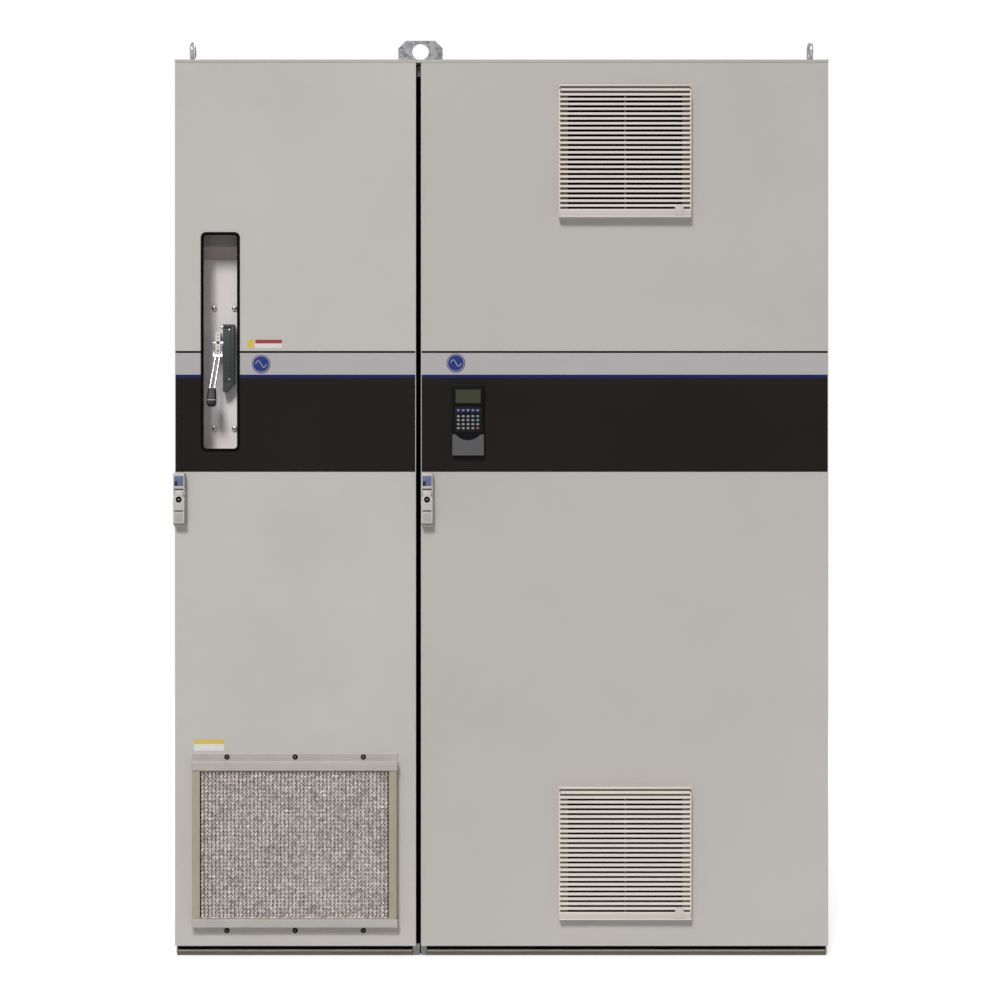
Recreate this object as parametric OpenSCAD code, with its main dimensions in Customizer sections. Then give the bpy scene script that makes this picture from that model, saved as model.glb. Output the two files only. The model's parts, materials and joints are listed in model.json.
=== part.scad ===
// Floor-standing variable frequency drive in two bayed sheet-steel enclosures.
// Millimetres. +X right, -Y front, +Z up, origin on the floor under the middle.

/* [Cabinet] */
// Width of the left bay, which takes the supply
input_w = 600; // [600:50:800]
// Width of the right bay, which holds the power modules
power_w = 1000; // [1000:50:1200]
// Height from the floor to the roof
cab_h = 2200; // [2200:50:2400]
// Depth from the door face to the rear panel
cab_d = 600; // [600:50:800]
// Thickness of the seal between the bays
seal_t = 3; // [2:1:3]
// Thickness of the folded sheet steel
sheet = 2; // [1.5:0.5:2]
// Side of a corner post
post_w = 48; // [48:1:52]
// Height of the bottom rails and their corner castings
base_h = 75; // [75:5:90]
// Height of the roof rails
top_h = 60; // [60:5:75]

/* [Doors] */
// Depth of a door pan over its folded edges
door_d = 25; // [25:1:26]
// Height of a door's lower edge above the floor
door_z0 = 29; // [20:1:30]
// Gap between a door's top edge and the top of the cabinet
door_top_gap = 8; // [8:1:12]
// Distance of the hinge axis from the door's right edge
hinge_in = 12; // [12:1:12]
// Radius of a hinge pin
hinge_pin_r = 3; // [2.5:0.5:3]
// Inset of the gasket from the door's edges
gasket_in = 31; // [31:1:33]

/* [Operator window] */
// Distance of the window's centre from the cabinet's left side
window_x = 112.5; // [110:0.5:130]
// Height of the window's centre, where the handle pivots
window_z = 1508.5; // [1450:0.5:1550]
// Width of the window over its edge trim
window_w = 96; // [96:1:110]
// Height of the window over its edge trim
window_h = 537; // [500:1:560]
// Depth of the recess behind the door's face
recess_d = 75; // [75:1:80]
// Reach of the handle from its pivot
handle_len = 165; // [150:1:170]
// Angle of the resting handle forward of straight down
handle_tilt = 18; // [10:1:25]

/* [Latches] */
// Width of a latch
latch_w = 28; // [28:1:30]
// Height of a latch's lower end above the floor
latch_z0 = 1056; // [1000:1:1056]
// Height of a latch
latch_h = 131; // [131:1:140]

/* [Intake filter] */
// Width of the filter's frame
filter_w = 499; // [480:1:500]
// Height of the filter's frame
filter_h = 397; // [380:1:400]
// Depth of the filter's frame
filter_d = 19; // [15:1:19]
// Height of the filter's lower edge above the floor
filter_z0 = 81; // [78:0.5:90]
// Width of the filter frame's visible face
filter_rim = 19; // [15:1:22]

/* [Grilles] */
// Side of a square louvred grille
grille_w = 323; // [300:1:323]
// Height of the lower grille's centre
grille_low_z = 258; // [240:1:300]
// Height of the upper grille's centre
grille_high_z = 1973; // [1900:1:1979]
// Number of louvre slots
slots = 24; // [20:1:26]

/* [Keypad] */
// Width of the keypad
keypad_w = 78; // [78:1:84]
// Height of the keypad's lower end above the floor
keypad_z0 = 1228; // [1220:1:1240]
// Height of the keypad
keypad_h = 175; // [175:1:180]

/* [Lifting] */
// Radius of the hole in a lifting plate
lift_r = 20.5; // [15:0.5:20.5]
// Height of a lifting plate above the roof
lift_h = 53; // [53:1:70]

/* [Hidden] */
$fn = 48;
front_reach = 24;
total_w = input_w + seal_t + power_w;
x_left = -total_w / 2;
x_right = total_w / 2;
input_x1 = x_left + input_w;
power_x0 = input_x1 + seal_t;
seam_x = (input_x1 + power_x0) / 2;

face_y = front_reach - (cab_d + front_reach) / 2;
back_y = face_y + cab_d;
door_back_y = face_y + door_d;
gasket_y = door_back_y + 5;
frame_y0 = gasket_y + 0.5;
frame_y1 = back_y - sheet;
post_y0 = frame_y0 + post_w;
post_y1 = frame_y1 - post_w;
roof_z = cab_h - 3;
rail_z = roof_z - top_h;

// The doors: left and right edges, top edge
door_edge = 1.5;
seam_edges = [8.5, 1];
input_door_x = [x_left + door_edge, input_x1 - seam_edges[0]];
power_door_x = [power_x0 + seam_edges[1], x_right - door_edge];
door_z1 = cab_h - door_top_gap;
door_skin_y = face_y + sheet;

// Hinges: pin axis, heights, and the notch their arms swing through
hinge_y = face_y + hinge_in;
hinge_zs = [door_z0 + 130, (door_z0 + door_z1) / 2 + 60, door_z1 - 130];
hinge_eye_h = 24;
hinge_eye_r = 6;
hinge_notch_h = 28;
hinge_ear_h = 13;
run_clear = 0.05;

// Lock rods beside the doors' left edges
rod_in = [5, 17];
rod_y = [face_y + 9, face_y + 13];
rod_z = [50, 2160];
keeper_zs = [240, 820, 1480, 2050];
keeper_h = 24;
keeper_y = face_y + 17;
guide_zs = [330, 900, 1570, 1960];

// Operator
op_x = x_left + window_x;
op_y = face_y + 52;
plate_y = face_y + recess_d;
handle_x = op_x - 22;
case_x = [op_x + 1, op_x + 28];
case_z = [window_z - 100, window_z + 46];

latch_inner_w = 21.2;
lever_pivot = [face_y - 15, latch_z0 + 84];
lock_z = latch_z0 + 66;
lock_r = 7.5;
input_latch_x = x_left;
power_latch_x = power_x0 + 2.5;

filter_x0 = x_left + 46.5;
filter_z1 = filter_z0 + filter_h;
filter_y = face_y - 2.5;

grille_x = power_x0 + power_w / 2;
grille_zs = [grille_low_z, grille_high_z];
grille_ring_d = 6;
grille_axis_y = face_y - 10;
grille_axis_in = 2;
sleeve_w = 290;
sleeve_y1 = face_y + 48;
fan_d = 45;

keypad_x = power_x0 + 116.5;
keypad_y = face_y - 12;
key_w = 9.5;
key_h = 6.5;
key_dx = 11.8;
key_zs = [112, 97.5, 88, 78, 68.5];
start_cell = [4, 1];
stop_cell = [4, 4];

mount_y = post_y1 - 3;
input_plate_x = [x_left + 56, input_x1 - 56];
power_plate_x = [power_x0 + 48, x_right - 56];
cable_slot_y = [120, 180];
bolt_r = 7;

steel_grey = [0.73, 0.71, 0.69];
zinc = [0.66, 0.67, 0.68];
black = [0.08, 0.08, 0.08];
copper = [0.72, 0.43, 0.28];
module_grey = [0.30, 0.31, 0.33];
pale_plastic = [0.86, 0.84, 0.80];

// A box between two opposite corners
module box(low, high) { translate(low) cube(high - low); }

// Square tubes along each axis, with walls of thickness t
module tube_x(low, high, t) {
    difference() {
        box(low, high);
        box(low + [-1, t, t], high - [-1, t, t]);
    }
}
module tube_y(low, high, t) {
    difference() {
        box(low, high);
        box(low + [t, -1, t], high - [t, -1, t]);
    }
}
module tube_z(low, high, t) {
    difference() {
        box(low, high);
        box(low + [t, t, -1], high - [t, t, -1]);
    }
}

// Round bars along X and Y, starting at p
module rod_x(p, len, r) { translate(p) rotate([0, 90, 0]) cylinder(r = r, h = len); }
module rod_back(p, len, r) { translate(p) rotate([-90, 0, 0]) cylinder(r = r, h = len); }

// A rectangle with round corners, centred
module rounded_rect(w, h, r) {
    square([w - 2 * r, h], center = true);
    square([w, h - 2 * r], center = true);
    for (sx = [-1, 1], sz = [-1, 1]) translate([sx * (w / 2 - r), sz * (h / 2 - r)]) circle(r = r);
}

// A slab with round corners in the XZ plane, from y0 back to y1
module rounded_slab(x, z, w, h, r, y0, y1) {
    translate([x, y1, z]) rotate([90, 0, 0]) linear_extrude(height = y1 - y0) rounded_rect(w, h, r);
}

// ---- Frame ----

bays = [[x_left + sheet, input_x1], [power_x0, x_right - sheet]];

module frame_posts() {
    color(steel_grey)
    for (b = bays, x = [b[0], b[1] - post_w], y = [frame_y0, post_y1])
        tube_z([x, y, base_h], [x + post_w, y + post_w, rail_z], sheet);
}

// Four rails round the foot and four under the roof of each bay, each a tube of its own
weld_gap = 0.2;
module frame_rails() {
    color(steel_grey)
    difference() {
        for (b = bays) {
            for (y = [frame_y0, post_y1]) {
                tube_x([b[0] + post_w, y, 0], [b[1] - post_w, y + post_w, base_h], 3);
                tube_x([b[0], y, rail_z], [b[1], y + post_w, roof_z], 3);
            }
            for (x = [b[0], b[1] - post_w]) {
                tube_y([x, post_y0, 0], [x + post_w, post_y1, base_h], 3);
                tube_y([x, post_y0 + weld_gap, rail_z], [x + post_w, post_y1 - weld_gap, roof_z], 3);
            }
        }
        eyebolt_holes();
    }
}

// Corner castings, each bored for a floor bolt
module base_corners() {
    color(zinc)
    for (b = bays, x = [b[0], b[1] - post_w], y = [frame_y0, post_y1])
        difference() {
            box([x, y, 0], [x + post_w, y + post_w, base_h]);
            translate([x + post_w / 2, y + post_w / 2, -1]) cylinder(r = bolt_r, h = base_h + 2);
        }
}

module roof_plates() {
    roof_edges = [[x_left, input_x1], [power_x0, x_right]];
    color(steel_grey)
    difference() {
        for (e = roof_edges) box([e[0], face_y + 1, roof_z], [e[1], back_y, cab_h]);
        eyebolt_holes();
    }
}

module side_panels() {
    color(steel_grey)
    for (x = [x_left, x_right - sheet]) box([x, frame_y0, 4], [x + sheet, frame_y1, roof_z]);
}

module rear_panels() {
    color(steel_grey)
    for (e = [[x_left, input_x1], [power_x0, x_right]])
        box([e[0], frame_y1, 4], [e[1], back_y, roof_z]);
}

// Bottom plates in two strips a bay, with a slot between them for the cables
module gland_plates() {
    plate_z = 60;
    color(zinc)
    for (b = bays, ys = [[post_y0, cable_slot_y[0]], [cable_slot_y[1], post_y1]])
        box([b[0] + post_w, ys[0], plate_z], [b[1] - post_w, ys[1], plate_z + sheet]);
}

module baying_seal() {
    color(black)
    difference() {
        box([input_x1, frame_y0, 4], [power_x0, back_y, cab_h]);
        box([input_x1 - 1, frame_y0 + 20, 24], [power_x0 + 1, back_y - 20, cab_h - 20]);
    }
}

// ---- Lifting ----

eye_r = 20.5;
eye_bar_r = 5.5;
eye_stud_r = 6;
eye_in = 38.5;
eye_ys = [frame_y0 + 24, post_y1 + 24];

module eyebolt_holes() {
    for (x = [x_left + eye_in, x_right - eye_in], y = eye_ys)
        translate([x, y, rail_z + 20]) cylinder(r = eye_stud_r, h = 200);
}

module eyebolts() {
    color(zinc)
    for (x = [x_left + eye_in, x_right - eye_in], y = eye_ys)
        translate([x, y, cab_h]) {
            cylinder(r = 15, h = 6);
            translate([0, 0, -22]) cylinder(r = eye_stud_r, h = 23);
            translate([0, 0, lift_h - eye_r - eye_bar_r])
                rotate([0, 90, 0])
                    rotate_extrude() translate([eye_r, 0]) circle(r = eye_bar_r);
        }
}

// Upright plates over the joint of the bays, each on a bolted foot
lift_w = 109.5;
lift_t = 8;
lift_chamfer = 19;
lift_hole_z = 26;
lift_ys = [frame_y0 + 4, frame_y1 - 4 - lift_t];
lift_foot_d = 44;
lift_foot_t = 6;
lift_bolt_xs = [-40, 40];
lift_bolt_ys = [16, 34];

module lifting_plates() {
    half = lift_w / 2;
    color(zinc)
    for (front = [true, false]) {
        y = front ? lift_ys[0] : lift_ys[1];
        foot_y = front ? y : y + lift_t - lift_foot_d;
        difference() {
            union() {
                translate([seam_x, y + lift_t, cab_h])
                    rotate([90, 0, 0])
                        linear_extrude(height = lift_t)
                            polygon([[-half, 0], [half, 0], [half, lift_h - lift_chamfer],
                                [half - lift_chamfer, lift_h], [lift_chamfer - half, lift_h],
                                [-half, lift_h - lift_chamfer]]);
                box([seam_x - half, foot_y, cab_h],
                    [seam_x + half, foot_y + lift_foot_d, cab_h + lift_foot_t]);
            }
            rod_back([seam_x, y - 1, cab_h + lift_hole_z], lift_t + 2, lift_r);
        }
    }
}

// Hexagon heads on the lifting plates' feet, and the four screws of the operator plate
module frame_fasteners() {
    color("silver") {
        for (front = [true, false], dx = lift_bolt_xs, dy = lift_bolt_ys) {
            y = front ? lift_ys[0] + dy : lift_ys[1] + lift_t - dy;
            translate([seam_x + dx, y, cab_h + lift_foot_t]) cylinder(r = 7, h = 5, $fn = 6);
        }
        for (dx = [-24.5, 26], dz = [-210, 88.5])
            rod_back([op_x + dx, plate_y - 3, window_z + dz], 3, 6);
    }
}

// ---- Hinges: frame brackets and pins, and the leaves on the doors ----

hinge_xs = [input_door_x[1] - hinge_in, power_door_x[1] - hinge_in];

module hinge_brackets() {
    color(zinc)
    for (x = hinge_xs, z = hinge_zs)
        difference() {
            union() {
                translate([x, hinge_y, z - hinge_eye_h / 2]) cylinder(r = hinge_eye_r, h = hinge_eye_h);
                box([x - 2.5, hinge_y, z - hinge_eye_h / 2], [x + 2.5, frame_y0, z + hinge_eye_h / 2]);
                box([x - 9, frame_y0 - 2.5, z - hinge_eye_h / 2], [x + 9, frame_y0, z + hinge_eye_h / 2]);
            }
            translate([x, hinge_y, z - hinge_eye_h]) cylinder(r = hinge_pin_r, h = 2 * hinge_eye_h);
        }
}

module hinge_pins() {
    pin_h = hinge_eye_h + 2 * hinge_ear_h + 2;
    color("silver")
    for (x = hinge_xs, z = hinge_zs)
        translate([x, hinge_y, z - pin_h / 2]) cylinder(r = hinge_pin_r, h = pin_h);
}

// Two bored ears a hinge, welded to the back of a door's skin
module hinge_leaves(x) {
    color(zinc)
    for (z = hinge_zs, up = [-1, 1]) {
        low = up > 0 ? z + hinge_eye_h / 2 + 0.5 : z - hinge_eye_h / 2 - 0.5 - hinge_ear_h;
        difference() {
            box([x - 6, door_skin_y, low], [x + 6, hinge_y + 6, low + hinge_ear_h]);
            translate([x, hinge_y, low - 1]) cylinder(r = hinge_pin_r + run_clear, h = hinge_ear_h + 2);
        }
    }
}
module input_hinge_leaves() { hinge_leaves(hinge_xs[0]); }
module power_hinge_leaves() { hinge_leaves(hinge_xs[1]); }

// ---- Door pans ----

ring_w = 15;

// A folded pan with an inner ring that carries the gasket, guides for the lock rod,
// and notches in its hinge side for the bracket arms
module door_pan(edges) {
    x0 = edges[0];
    x1 = edges[1];
    box([x0, face_y, door_z0], [x1, door_skin_y, door_z1]);
    difference() {
        box([x0, door_skin_y, door_z0], [x1, door_back_y, door_z1]);
        box([x0 + sheet, face_y, door_z0 + sheet], [x1 - sheet, door_back_y + 1, door_z1 - sheet]);
        for (z = hinge_zs)
            box([x1 - sheet - 1, door_skin_y, z - hinge_notch_h / 2],
                [x1 + 1, door_back_y + 1, z + hinge_notch_h / 2]);
    }
    // L-section ring under the gasket
    difference() {
        box([x0 + gasket_in - sheet, door_skin_y, door_z0 + gasket_in - sheet],
            [x1 - gasket_in + sheet, door_back_y, door_z1 - gasket_in + sheet]);
        box([x0 + gasket_in, face_y, door_z0 + gasket_in],
            [x1 - gasket_in, door_back_y - sheet, door_z1 - gasket_in]);
        box([x0 + gasket_in + ring_w, face_y, door_z0 + gasket_in + ring_w],
            [x1 - gasket_in - ring_w, door_back_y + 1, door_z1 - gasket_in - ring_w]);
    }
    for (z = guide_zs) rod_guide(x0, z);
}

// A bracket round the lock rod
module rod_guide(x0, z) {
    gap = 0.4;
    wall = 1.6;
    difference() {
        box([x0 + rod_in[0] - gap - wall, door_skin_y, z - 12],
            [x0 + rod_in[1] + gap + wall, rod_y[1] + gap + wall, z + 12]);
        box([x0 + rod_in[0] - gap, rod_y[0] - gap, z - 13], [x0 + rod_in[1] + gap, rod_y[1] + gap, z + 13]);
    }
}

module input_door() {
    trim_lap = 4;
    intake = [filter_w - 2 * filter_rim - 10, filter_h - 60];
    color(steel_grey)
    difference() {
        door_pan(input_door_x);
        rounded_slab(op_x, window_z, window_w - trim_lap, window_h - trim_lap, 11,
            face_y - 1, door_skin_y + 1);
        translate([filter_x0 + filter_w / 2, door_skin_y + 1, filter_z0 + filter_h / 2])
            rotate([90, 0, 0]) linear_extrude(height = 4) square(intake, center = true);
    }
}

module power_door() {
    color(steel_grey)
    difference() {
        door_pan(power_door_x);
        for (z = grille_zs)
            box([grille_x - sleeve_w / 2, face_y - 1, z - sleeve_w / 2],
                [grille_x + sleeve_w / 2, door_skin_y + 1, z + sleeve_w / 2]);
        box([keypad_x - 30, face_y - 1, keypad_z0 + 60], [keypad_x + 30, door_skin_y + 1, keypad_z0 + 160]);
    }
}

// Foam gasket ring on the back of a door
module gasket(edges) {
    gasket_w = 12;
    low = [edges[0] + gasket_in, door_back_y, door_z0 + gasket_in];
    high = [edges[1] - gasket_in, gasket_y, door_z1 - gasket_in];
    color(black)
    difference() {
        box(low, high);
        box(low + [gasket_w, -1, gasket_w], high + [-gasket_w, 1, -gasket_w]);
    }
}
module input_gasket() { gasket(input_door_x); }
module power_gasket() { gasket(power_door_x); }

// ---- Operator behind the window ----

trim_w = 7;

// Rubber edging round the window, lipped over the face of the door
module window_trim() {
    color(black)
    difference() {
        union() {
            rounded_slab(op_x, window_z, window_w, window_h, 13, face_y - 2, face_y);
            rounded_slab(op_x, window_z, window_w - 4, window_h - 4, 11, face_y - 0.5, door_skin_y + 2);
        }
        rounded_slab(op_x, window_z, window_w - 2 * trim_w, window_h - 2 * trim_w, 8,
            face_y - 3, door_skin_y + 3);
    }
}

// Folded tray that closes the recess behind the window
tray_x = [x_left + sheet + post_w, op_x + 69];
tray_z = [window_z - 283, window_z + 287];
tray_y0 = frame_y0 + 4;

module disconnect_plate() {
    color([0.69, 0.67, 0.69])
    difference() {
        box([tray_x[0], tray_y0, tray_z[0]], [tray_x[1], plate_y + sheet, tray_z[1]]);
        box([tray_x[0] + sheet, tray_y0 - 1, tray_z[0] + sheet],
            [tray_x[1] - sheet, plate_y, tray_z[1] - sheet]);
    }
}

// The yoke that the handle's rods hang from, and the shaft that it turns on
yoke_x = handle_x + 10.5;
arm_in = 8;
arm_t = 3;
arm_len = 36;
hub_r = 5;

// Mechanism case, pointed below, with the bore that the handle's shaft turns in, and the indicator
// plate that stands on two posts between the arms of the yoke
module disconnect_case() {
    depth = 32;
    bore_depth = 10;
    plate_y1 = op_y - hub_r - 1.5;
    post_in = 17;
    half_w = 6;
    half_h = 26;
    color([0.29, 0.33, 0.32]) {
        difference() {
            translate([0, plate_y, 0]) rotate([90, 0, 0]) linear_extrude(height = depth)
                polygon([[case_x[0], case_z[1]], [case_x[1], case_z[1]], [case_x[1], case_z[0]],
                    [case_x[0] + 6, case_z[0] - 20], [case_x[0], case_z[0] - 20]]);
            rod_x([case_x[0] - 1, op_y, window_z], bore_depth + 1, hub_r + run_clear);
        }
        box([yoke_x - half_w, plate_y1 - 2, window_z - half_h],
            [yoke_x + half_w, plate_y1, window_z + half_h]);
        for (z = [window_z - half_h, window_z + post_in])
            box([yoke_x - half_w + 1, plate_y1 - 1, z], [yoke_x + half_w - 1, plate_y, z + half_h - post_in]);
    }
}

// The handle hangs from its shaft, leaning out of the recess
module in_handle_frame() {
    translate([handle_x, op_y, window_z]) rotate([-handle_tilt, 0, 0]) children();
}

handle_rod_in = 5.5;
rod_r = 2.5;
grip_len = 44;
module handle_rods() {
    arm_out = arm_in + arm_t;
    half_depth = 4;
    cross_t = 4;
    drop = handle_len - grip_len - arm_len + cross_t;
    lean = atan((yoke_x - handle_x) / drop);
    hub_x0 = yoke_x - arm_out - 1;
    color("silver")
    union() {
        rod_x([hub_x0, op_y, window_z], case_x[0] + 9 - hub_x0, hub_r);
        in_handle_frame() {
            for (side = [-1, 1]) {
                middle = yoke_x - handle_x + side * (arm_in + arm_t / 2);
                box([middle - arm_t / 2, -half_depth, -arm_len], [middle + arm_t / 2, half_depth, 0]);
                translate([yoke_x - handle_x + side * handle_rod_in, 0, cross_t - arm_len])
                    rotate([180, lean, 0]) cylinder(r = rod_r, h = drop / cos(lean));
            }
            box([yoke_x - handle_x - arm_out, -half_depth + 1, -arm_len],
                [yoke_x - handle_x + arm_out, half_depth - 1, cross_t - arm_len]);
        }
    }
}
module handle_grip() {
    depth = 16;
    color(black)
    in_handle_frame()
        translate([0, depth / 2, 0]) rotate([90, 0, 0]) linear_extrude(height = depth)
            polygon([[-9.5, grip_len - handle_len], [9.5, grip_len - handle_len],
                [12, 6 - handle_len], [9, -handle_len], [-9, -handle_len], [-12, 6 - handle_len]]);
}

// ---- Supply gear on the left mounting plate ----

switch_x = [input_plate_x[0] + 12, input_plate_x[0] + 152];
switch_y0 = 100;
switch_z = [window_z - 130, window_z + 130];
toggle_y = switch_y0 + 12;

module mounting_plates() {
    color(zinc)
    for (e = [input_plate_x, power_plate_x])
        box([e[0], mount_y, 110], [e[1], post_y1, 2100]);
}

module disconnect_switch() {
    mid_x = (switch_x[0] + switch_x[1]) / 2;
    color(module_grey)
    difference() {
        union() {
            box([switch_x[0], switch_y0, switch_z[0]], [switch_x[1], mount_y, switch_z[1]]);
            for (dx = [-48, 0, 48], z = [switch_z[0] - 30, switch_z[1]])
                box([mid_x + dx - 12, switch_y0 + 60, z], [mid_x + dx + 12, switch_y0 + 66, z + 30]);
        }
        box([mid_x - 15, switch_y0 - 1, window_z - 40], [mid_x + 15, switch_y0 + 34, window_z + 40]);
    }
}

// Toggle of the switch, which the handle's mechanism throws
module switch_toggle() {
    mid_x = (switch_x[0] + switch_x[1]) / 2;
    color(black)
    translate([mid_x, toggle_y, window_z]) rotate([15, 0, 0]) {
        translate([-14, 0, 0]) rotate([0, 90, 0]) cylinder(r = 9, h = 28);
        box([-8, -42, -5], [8, 0, 5]);
    }
}

fuse_xs = [input_plate_x[1] - 240, input_plate_x[1] - 150, input_plate_x[1] - 60];
module line_fuses() {
    color(pale_plastic)
    for (x = fuse_xs) {
        translate([x, 205, window_z - 80]) cylinder(r = 28, h = 160);
        box([x - 14, 202, window_z - 115], [x + 14, 208, window_z + 115]);
        for (z = [window_z - 115, window_z + 95]) box([x - 20, 208, z], [x + 20, mount_y, z + 20]);
    }
}

module line_contactor() {
    x0 = fuse_xs[0] - 40;
    x1 = fuse_xs[2] + 40;
    color(module_grey)
    union() {
        box([x0, 130, 1080], [x1, mount_y, 1280]);
        box([x0 + 25, 95, 1120], [x1 - 25, 130, 1240]);
        for (x = fuse_xs, z = [1055, 1280]) box([x - 14, 150, z], [x + 14, 156, z + 25]);
    }
}

// Three-legged iron core on cross channels, with a winding on each leg
leg_xs = [-130, 0, 130];
core_x = (input_plate_x[0] + input_plate_x[1]) / 2;
core_y = [20, 120];
core_z = [base_h + 30, base_h + 390];
yoke_h = 60;
leg_w = 60;

module reactor_core() {
    color([0.35, 0.30, 0.27])
    union() {
        for (z = [core_z[0], core_z[1] - yoke_h])
            box([core_x - 160, core_y[0], z], [core_x + 160, core_y[1], z + yoke_h]);
        for (dx = leg_xs)
            box([core_x + dx - leg_w / 2, core_y[0], core_z[0]],
                [core_x + dx + leg_w / 2, core_y[1], core_z[1]]);
        for (dx = [-130, 130])
            box([core_x + dx - 20, frame_y0 + 8, base_h], [core_x + dx + 20, frame_y1 - 8, core_z[0]]);
    }
}
module reactor_coils() {
    color(copper)
    for (dx = leg_xs)
        translate([core_x + dx, (core_y[0] + core_y[1]) / 2, core_z[0] + yoke_h + 6])
            linear_extrude(height = core_z[1] - core_z[0] - 2 * yoke_h - 12)
                difference() {
                    rounded_rect(122, 170, 28);
                    square([leg_w, core_y[1] - core_y[0]], center = true);
                }
}

// ---- Power modules on the right mounting plate ----

converter_x = [power_plate_x[0] + 35, power_plate_x[0] + 345];
inverter_x = [power_plate_x[0] + 395, power_plate_x[1] - 35];
module_z = [1180, 1860];
module_y0 = 0;

// A ribbed module: closed case, shallow front ribs and terminals below
module power_module(xs, ribs) {
    pitch = (xs[1] - xs[0] - 40) / ribs;
    box([xs[0], module_y0, module_z[0]], [xs[1], mount_y, module_z[1]]);
    for (i = [0 : ribs - 1])
        box([xs[0] + 20 + pitch * (i + 0.2), module_y0 - 12, module_z[0] + 120],
            [xs[0] + 20 + pitch * (i + 0.8), module_y0, module_z[1] - 60]);
    for (f = [0.25, 0.5, 0.75])
        box([xs[0] + f * (xs[1] - xs[0]) - 20, 60, module_z[0] - 40],
            [xs[0] + f * (xs[1] - xs[0]) + 20, 68, module_z[0]]);
}
module converter_module() { color(module_grey) union() power_module(converter_x, 4); }
module inverter_module() { color(module_grey) union() power_module(inverter_x, 6); }

can_r = 38;
can_pitch = 100;
can_x0 = power_plate_x[0] + 120;
can_zs = [820, 940];
module capacitor_bank() {
    color([0.25, 0.35, 0.55])
    for (i = [0 : 6], z = can_zs)
        rod_back([can_x0 + can_pitch * i, 50, z], mount_y - 50, can_r);
}

// Two plates that join the cans to the modules, and the three supply bars
module busbars() {
    color(copper) {
        for (i = [0, 1])
            box([can_x0 - 50 + 30 * i, 32 + 12 * i, can_zs[0] - 40 + 70 * i],
                [can_x0 + 6 * can_pitch + 20, 38 + 12 * i, can_zs[0] + 50 + 70 * i + 60 * i]);
        for (x = fuse_xs) box([x - 14, 160, 640], [x + 14, 166, 1080]);
    }
}

// Card cage with its upright boards
module control_cage() {
    cage_x = [power_plate_x[0] + 60, power_plate_x[0] + 420];
    color([0.20, 0.42, 0.28])
    union() {
        box([cage_x[0], 60, 420], [cage_x[1], mount_y, 424]);
        box([cage_x[0], 60, 676], [cage_x[1], mount_y, 680]);
        for (x = [cage_x[0], cage_x[1] - 4]) box([x, 60, 420], [x + 4, mount_y, 680]);
        for (i = [1 : 7]) box([cage_x[0] + 45 * i, 80, 424], [cage_x[0] + 45 * i + 2, mount_y, 676]);
    }
}

// ---- Blowers ----

blower_x = (converter_x[0] + inverter_x[1]) / 2;
blower_y = 90;
blower_z = [1920, 2080];
blower_r = 120;

module blower_housing() {
    half = 150;
    color(zinc)
    difference() {
        union() {
            difference() {
                box([blower_x - half, blower_y - half, blower_z[0]], [blower_x + half, mount_y, blower_z[1]]);
                box([blower_x - half + 3, blower_y - half - 1, blower_z[0] + 3],
                    [blower_x + half - 3, mount_y - 3, blower_z[1] - 3]);
            }
            translate([blower_x, blower_y, blower_z[1] - 40]) cylinder(r = 45, h = 40);
        }
        translate([blower_x, blower_y, blower_z[0] - 1]) cylinder(r = 85, h = 5);
    }
}
module blower_wheel() {
    blades = 9;
    color(black)
    translate([blower_x, blower_y, 0])
        union() {
            translate([0, 0, blower_z[1] - 46]) cylinder(r = blower_r, h = 3);
            translate([0, 0, blower_z[0] + 40]) cylinder(r = 40, h = 76);
            for (i = [0 : blades - 1])
                rotate([0, 0, 360 / blades * i])
                    translate([38, 0, blower_z[0] + 20]) rotate([0, 0, 25]) cube([72, 3, 96]);
        }
}

module vent_fan_housing() {
    half = 140;
    y0 = sleeve_y1;
    color(black)
    difference() {
        box([grille_x - half, y0, grille_low_z - half], [grille_x + half, y0 + fan_d, grille_low_z + half]);
        rod_back([grille_x, y0 - 1, grille_low_z], fan_d - 7, 124);
        for (a = [0 : 90 : 270])
            translate([grille_x, 0, grille_low_z]) rotate([0, a + 45, 0])
                box([52, y0 + fan_d - 20, -34], [112, y0 + fan_d + 1, 34]);
    }
}
module vent_fan_impeller() {
    blades = 7;
    color(black)
    translate([grille_x, sleeve_y1 + 5, grille_low_z])
        union() {
            rod_back([0, 0, 0], 30, 44);
            for (i = [0 : blades - 1])
                rotate([0, 360 / blades * i, 0]) translate([40, 15, 0]) rotate([35, 0, 0])
                    box([0, -1.5, -20], [76, 1.5, 20]);
        }
}

// ---- Latches ----

// Escutcheon with a head above and two ears for the lever's pin
module latch_case(x) {
    head_z = latch_z0 + latch_h - 37;
    ear_w = (latch_w - latch_inner_w) / 2 - 0.4;
    pivot_y = lever_pivot[0];
    pivot_z = lever_pivot[1];
    color(pale_plastic)
    difference() {
        union() {
            box([x, face_y - 9, latch_z0], [x + latch_w, face_y, latch_z0 + latch_h]);
            box([x, face_y - 22, head_z], [x + latch_w, face_y, latch_z0 + latch_h]);
            for (ex = [x, x + latch_w - ear_w])
                box([ex, pivot_y - 6, pivot_z - 8], [ex + ear_w, face_y - 9, head_z]);
        }
        rod_x([x - 1, pivot_y, pivot_z], latch_w + 2, 2.5 + run_clear);
    }
}

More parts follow.
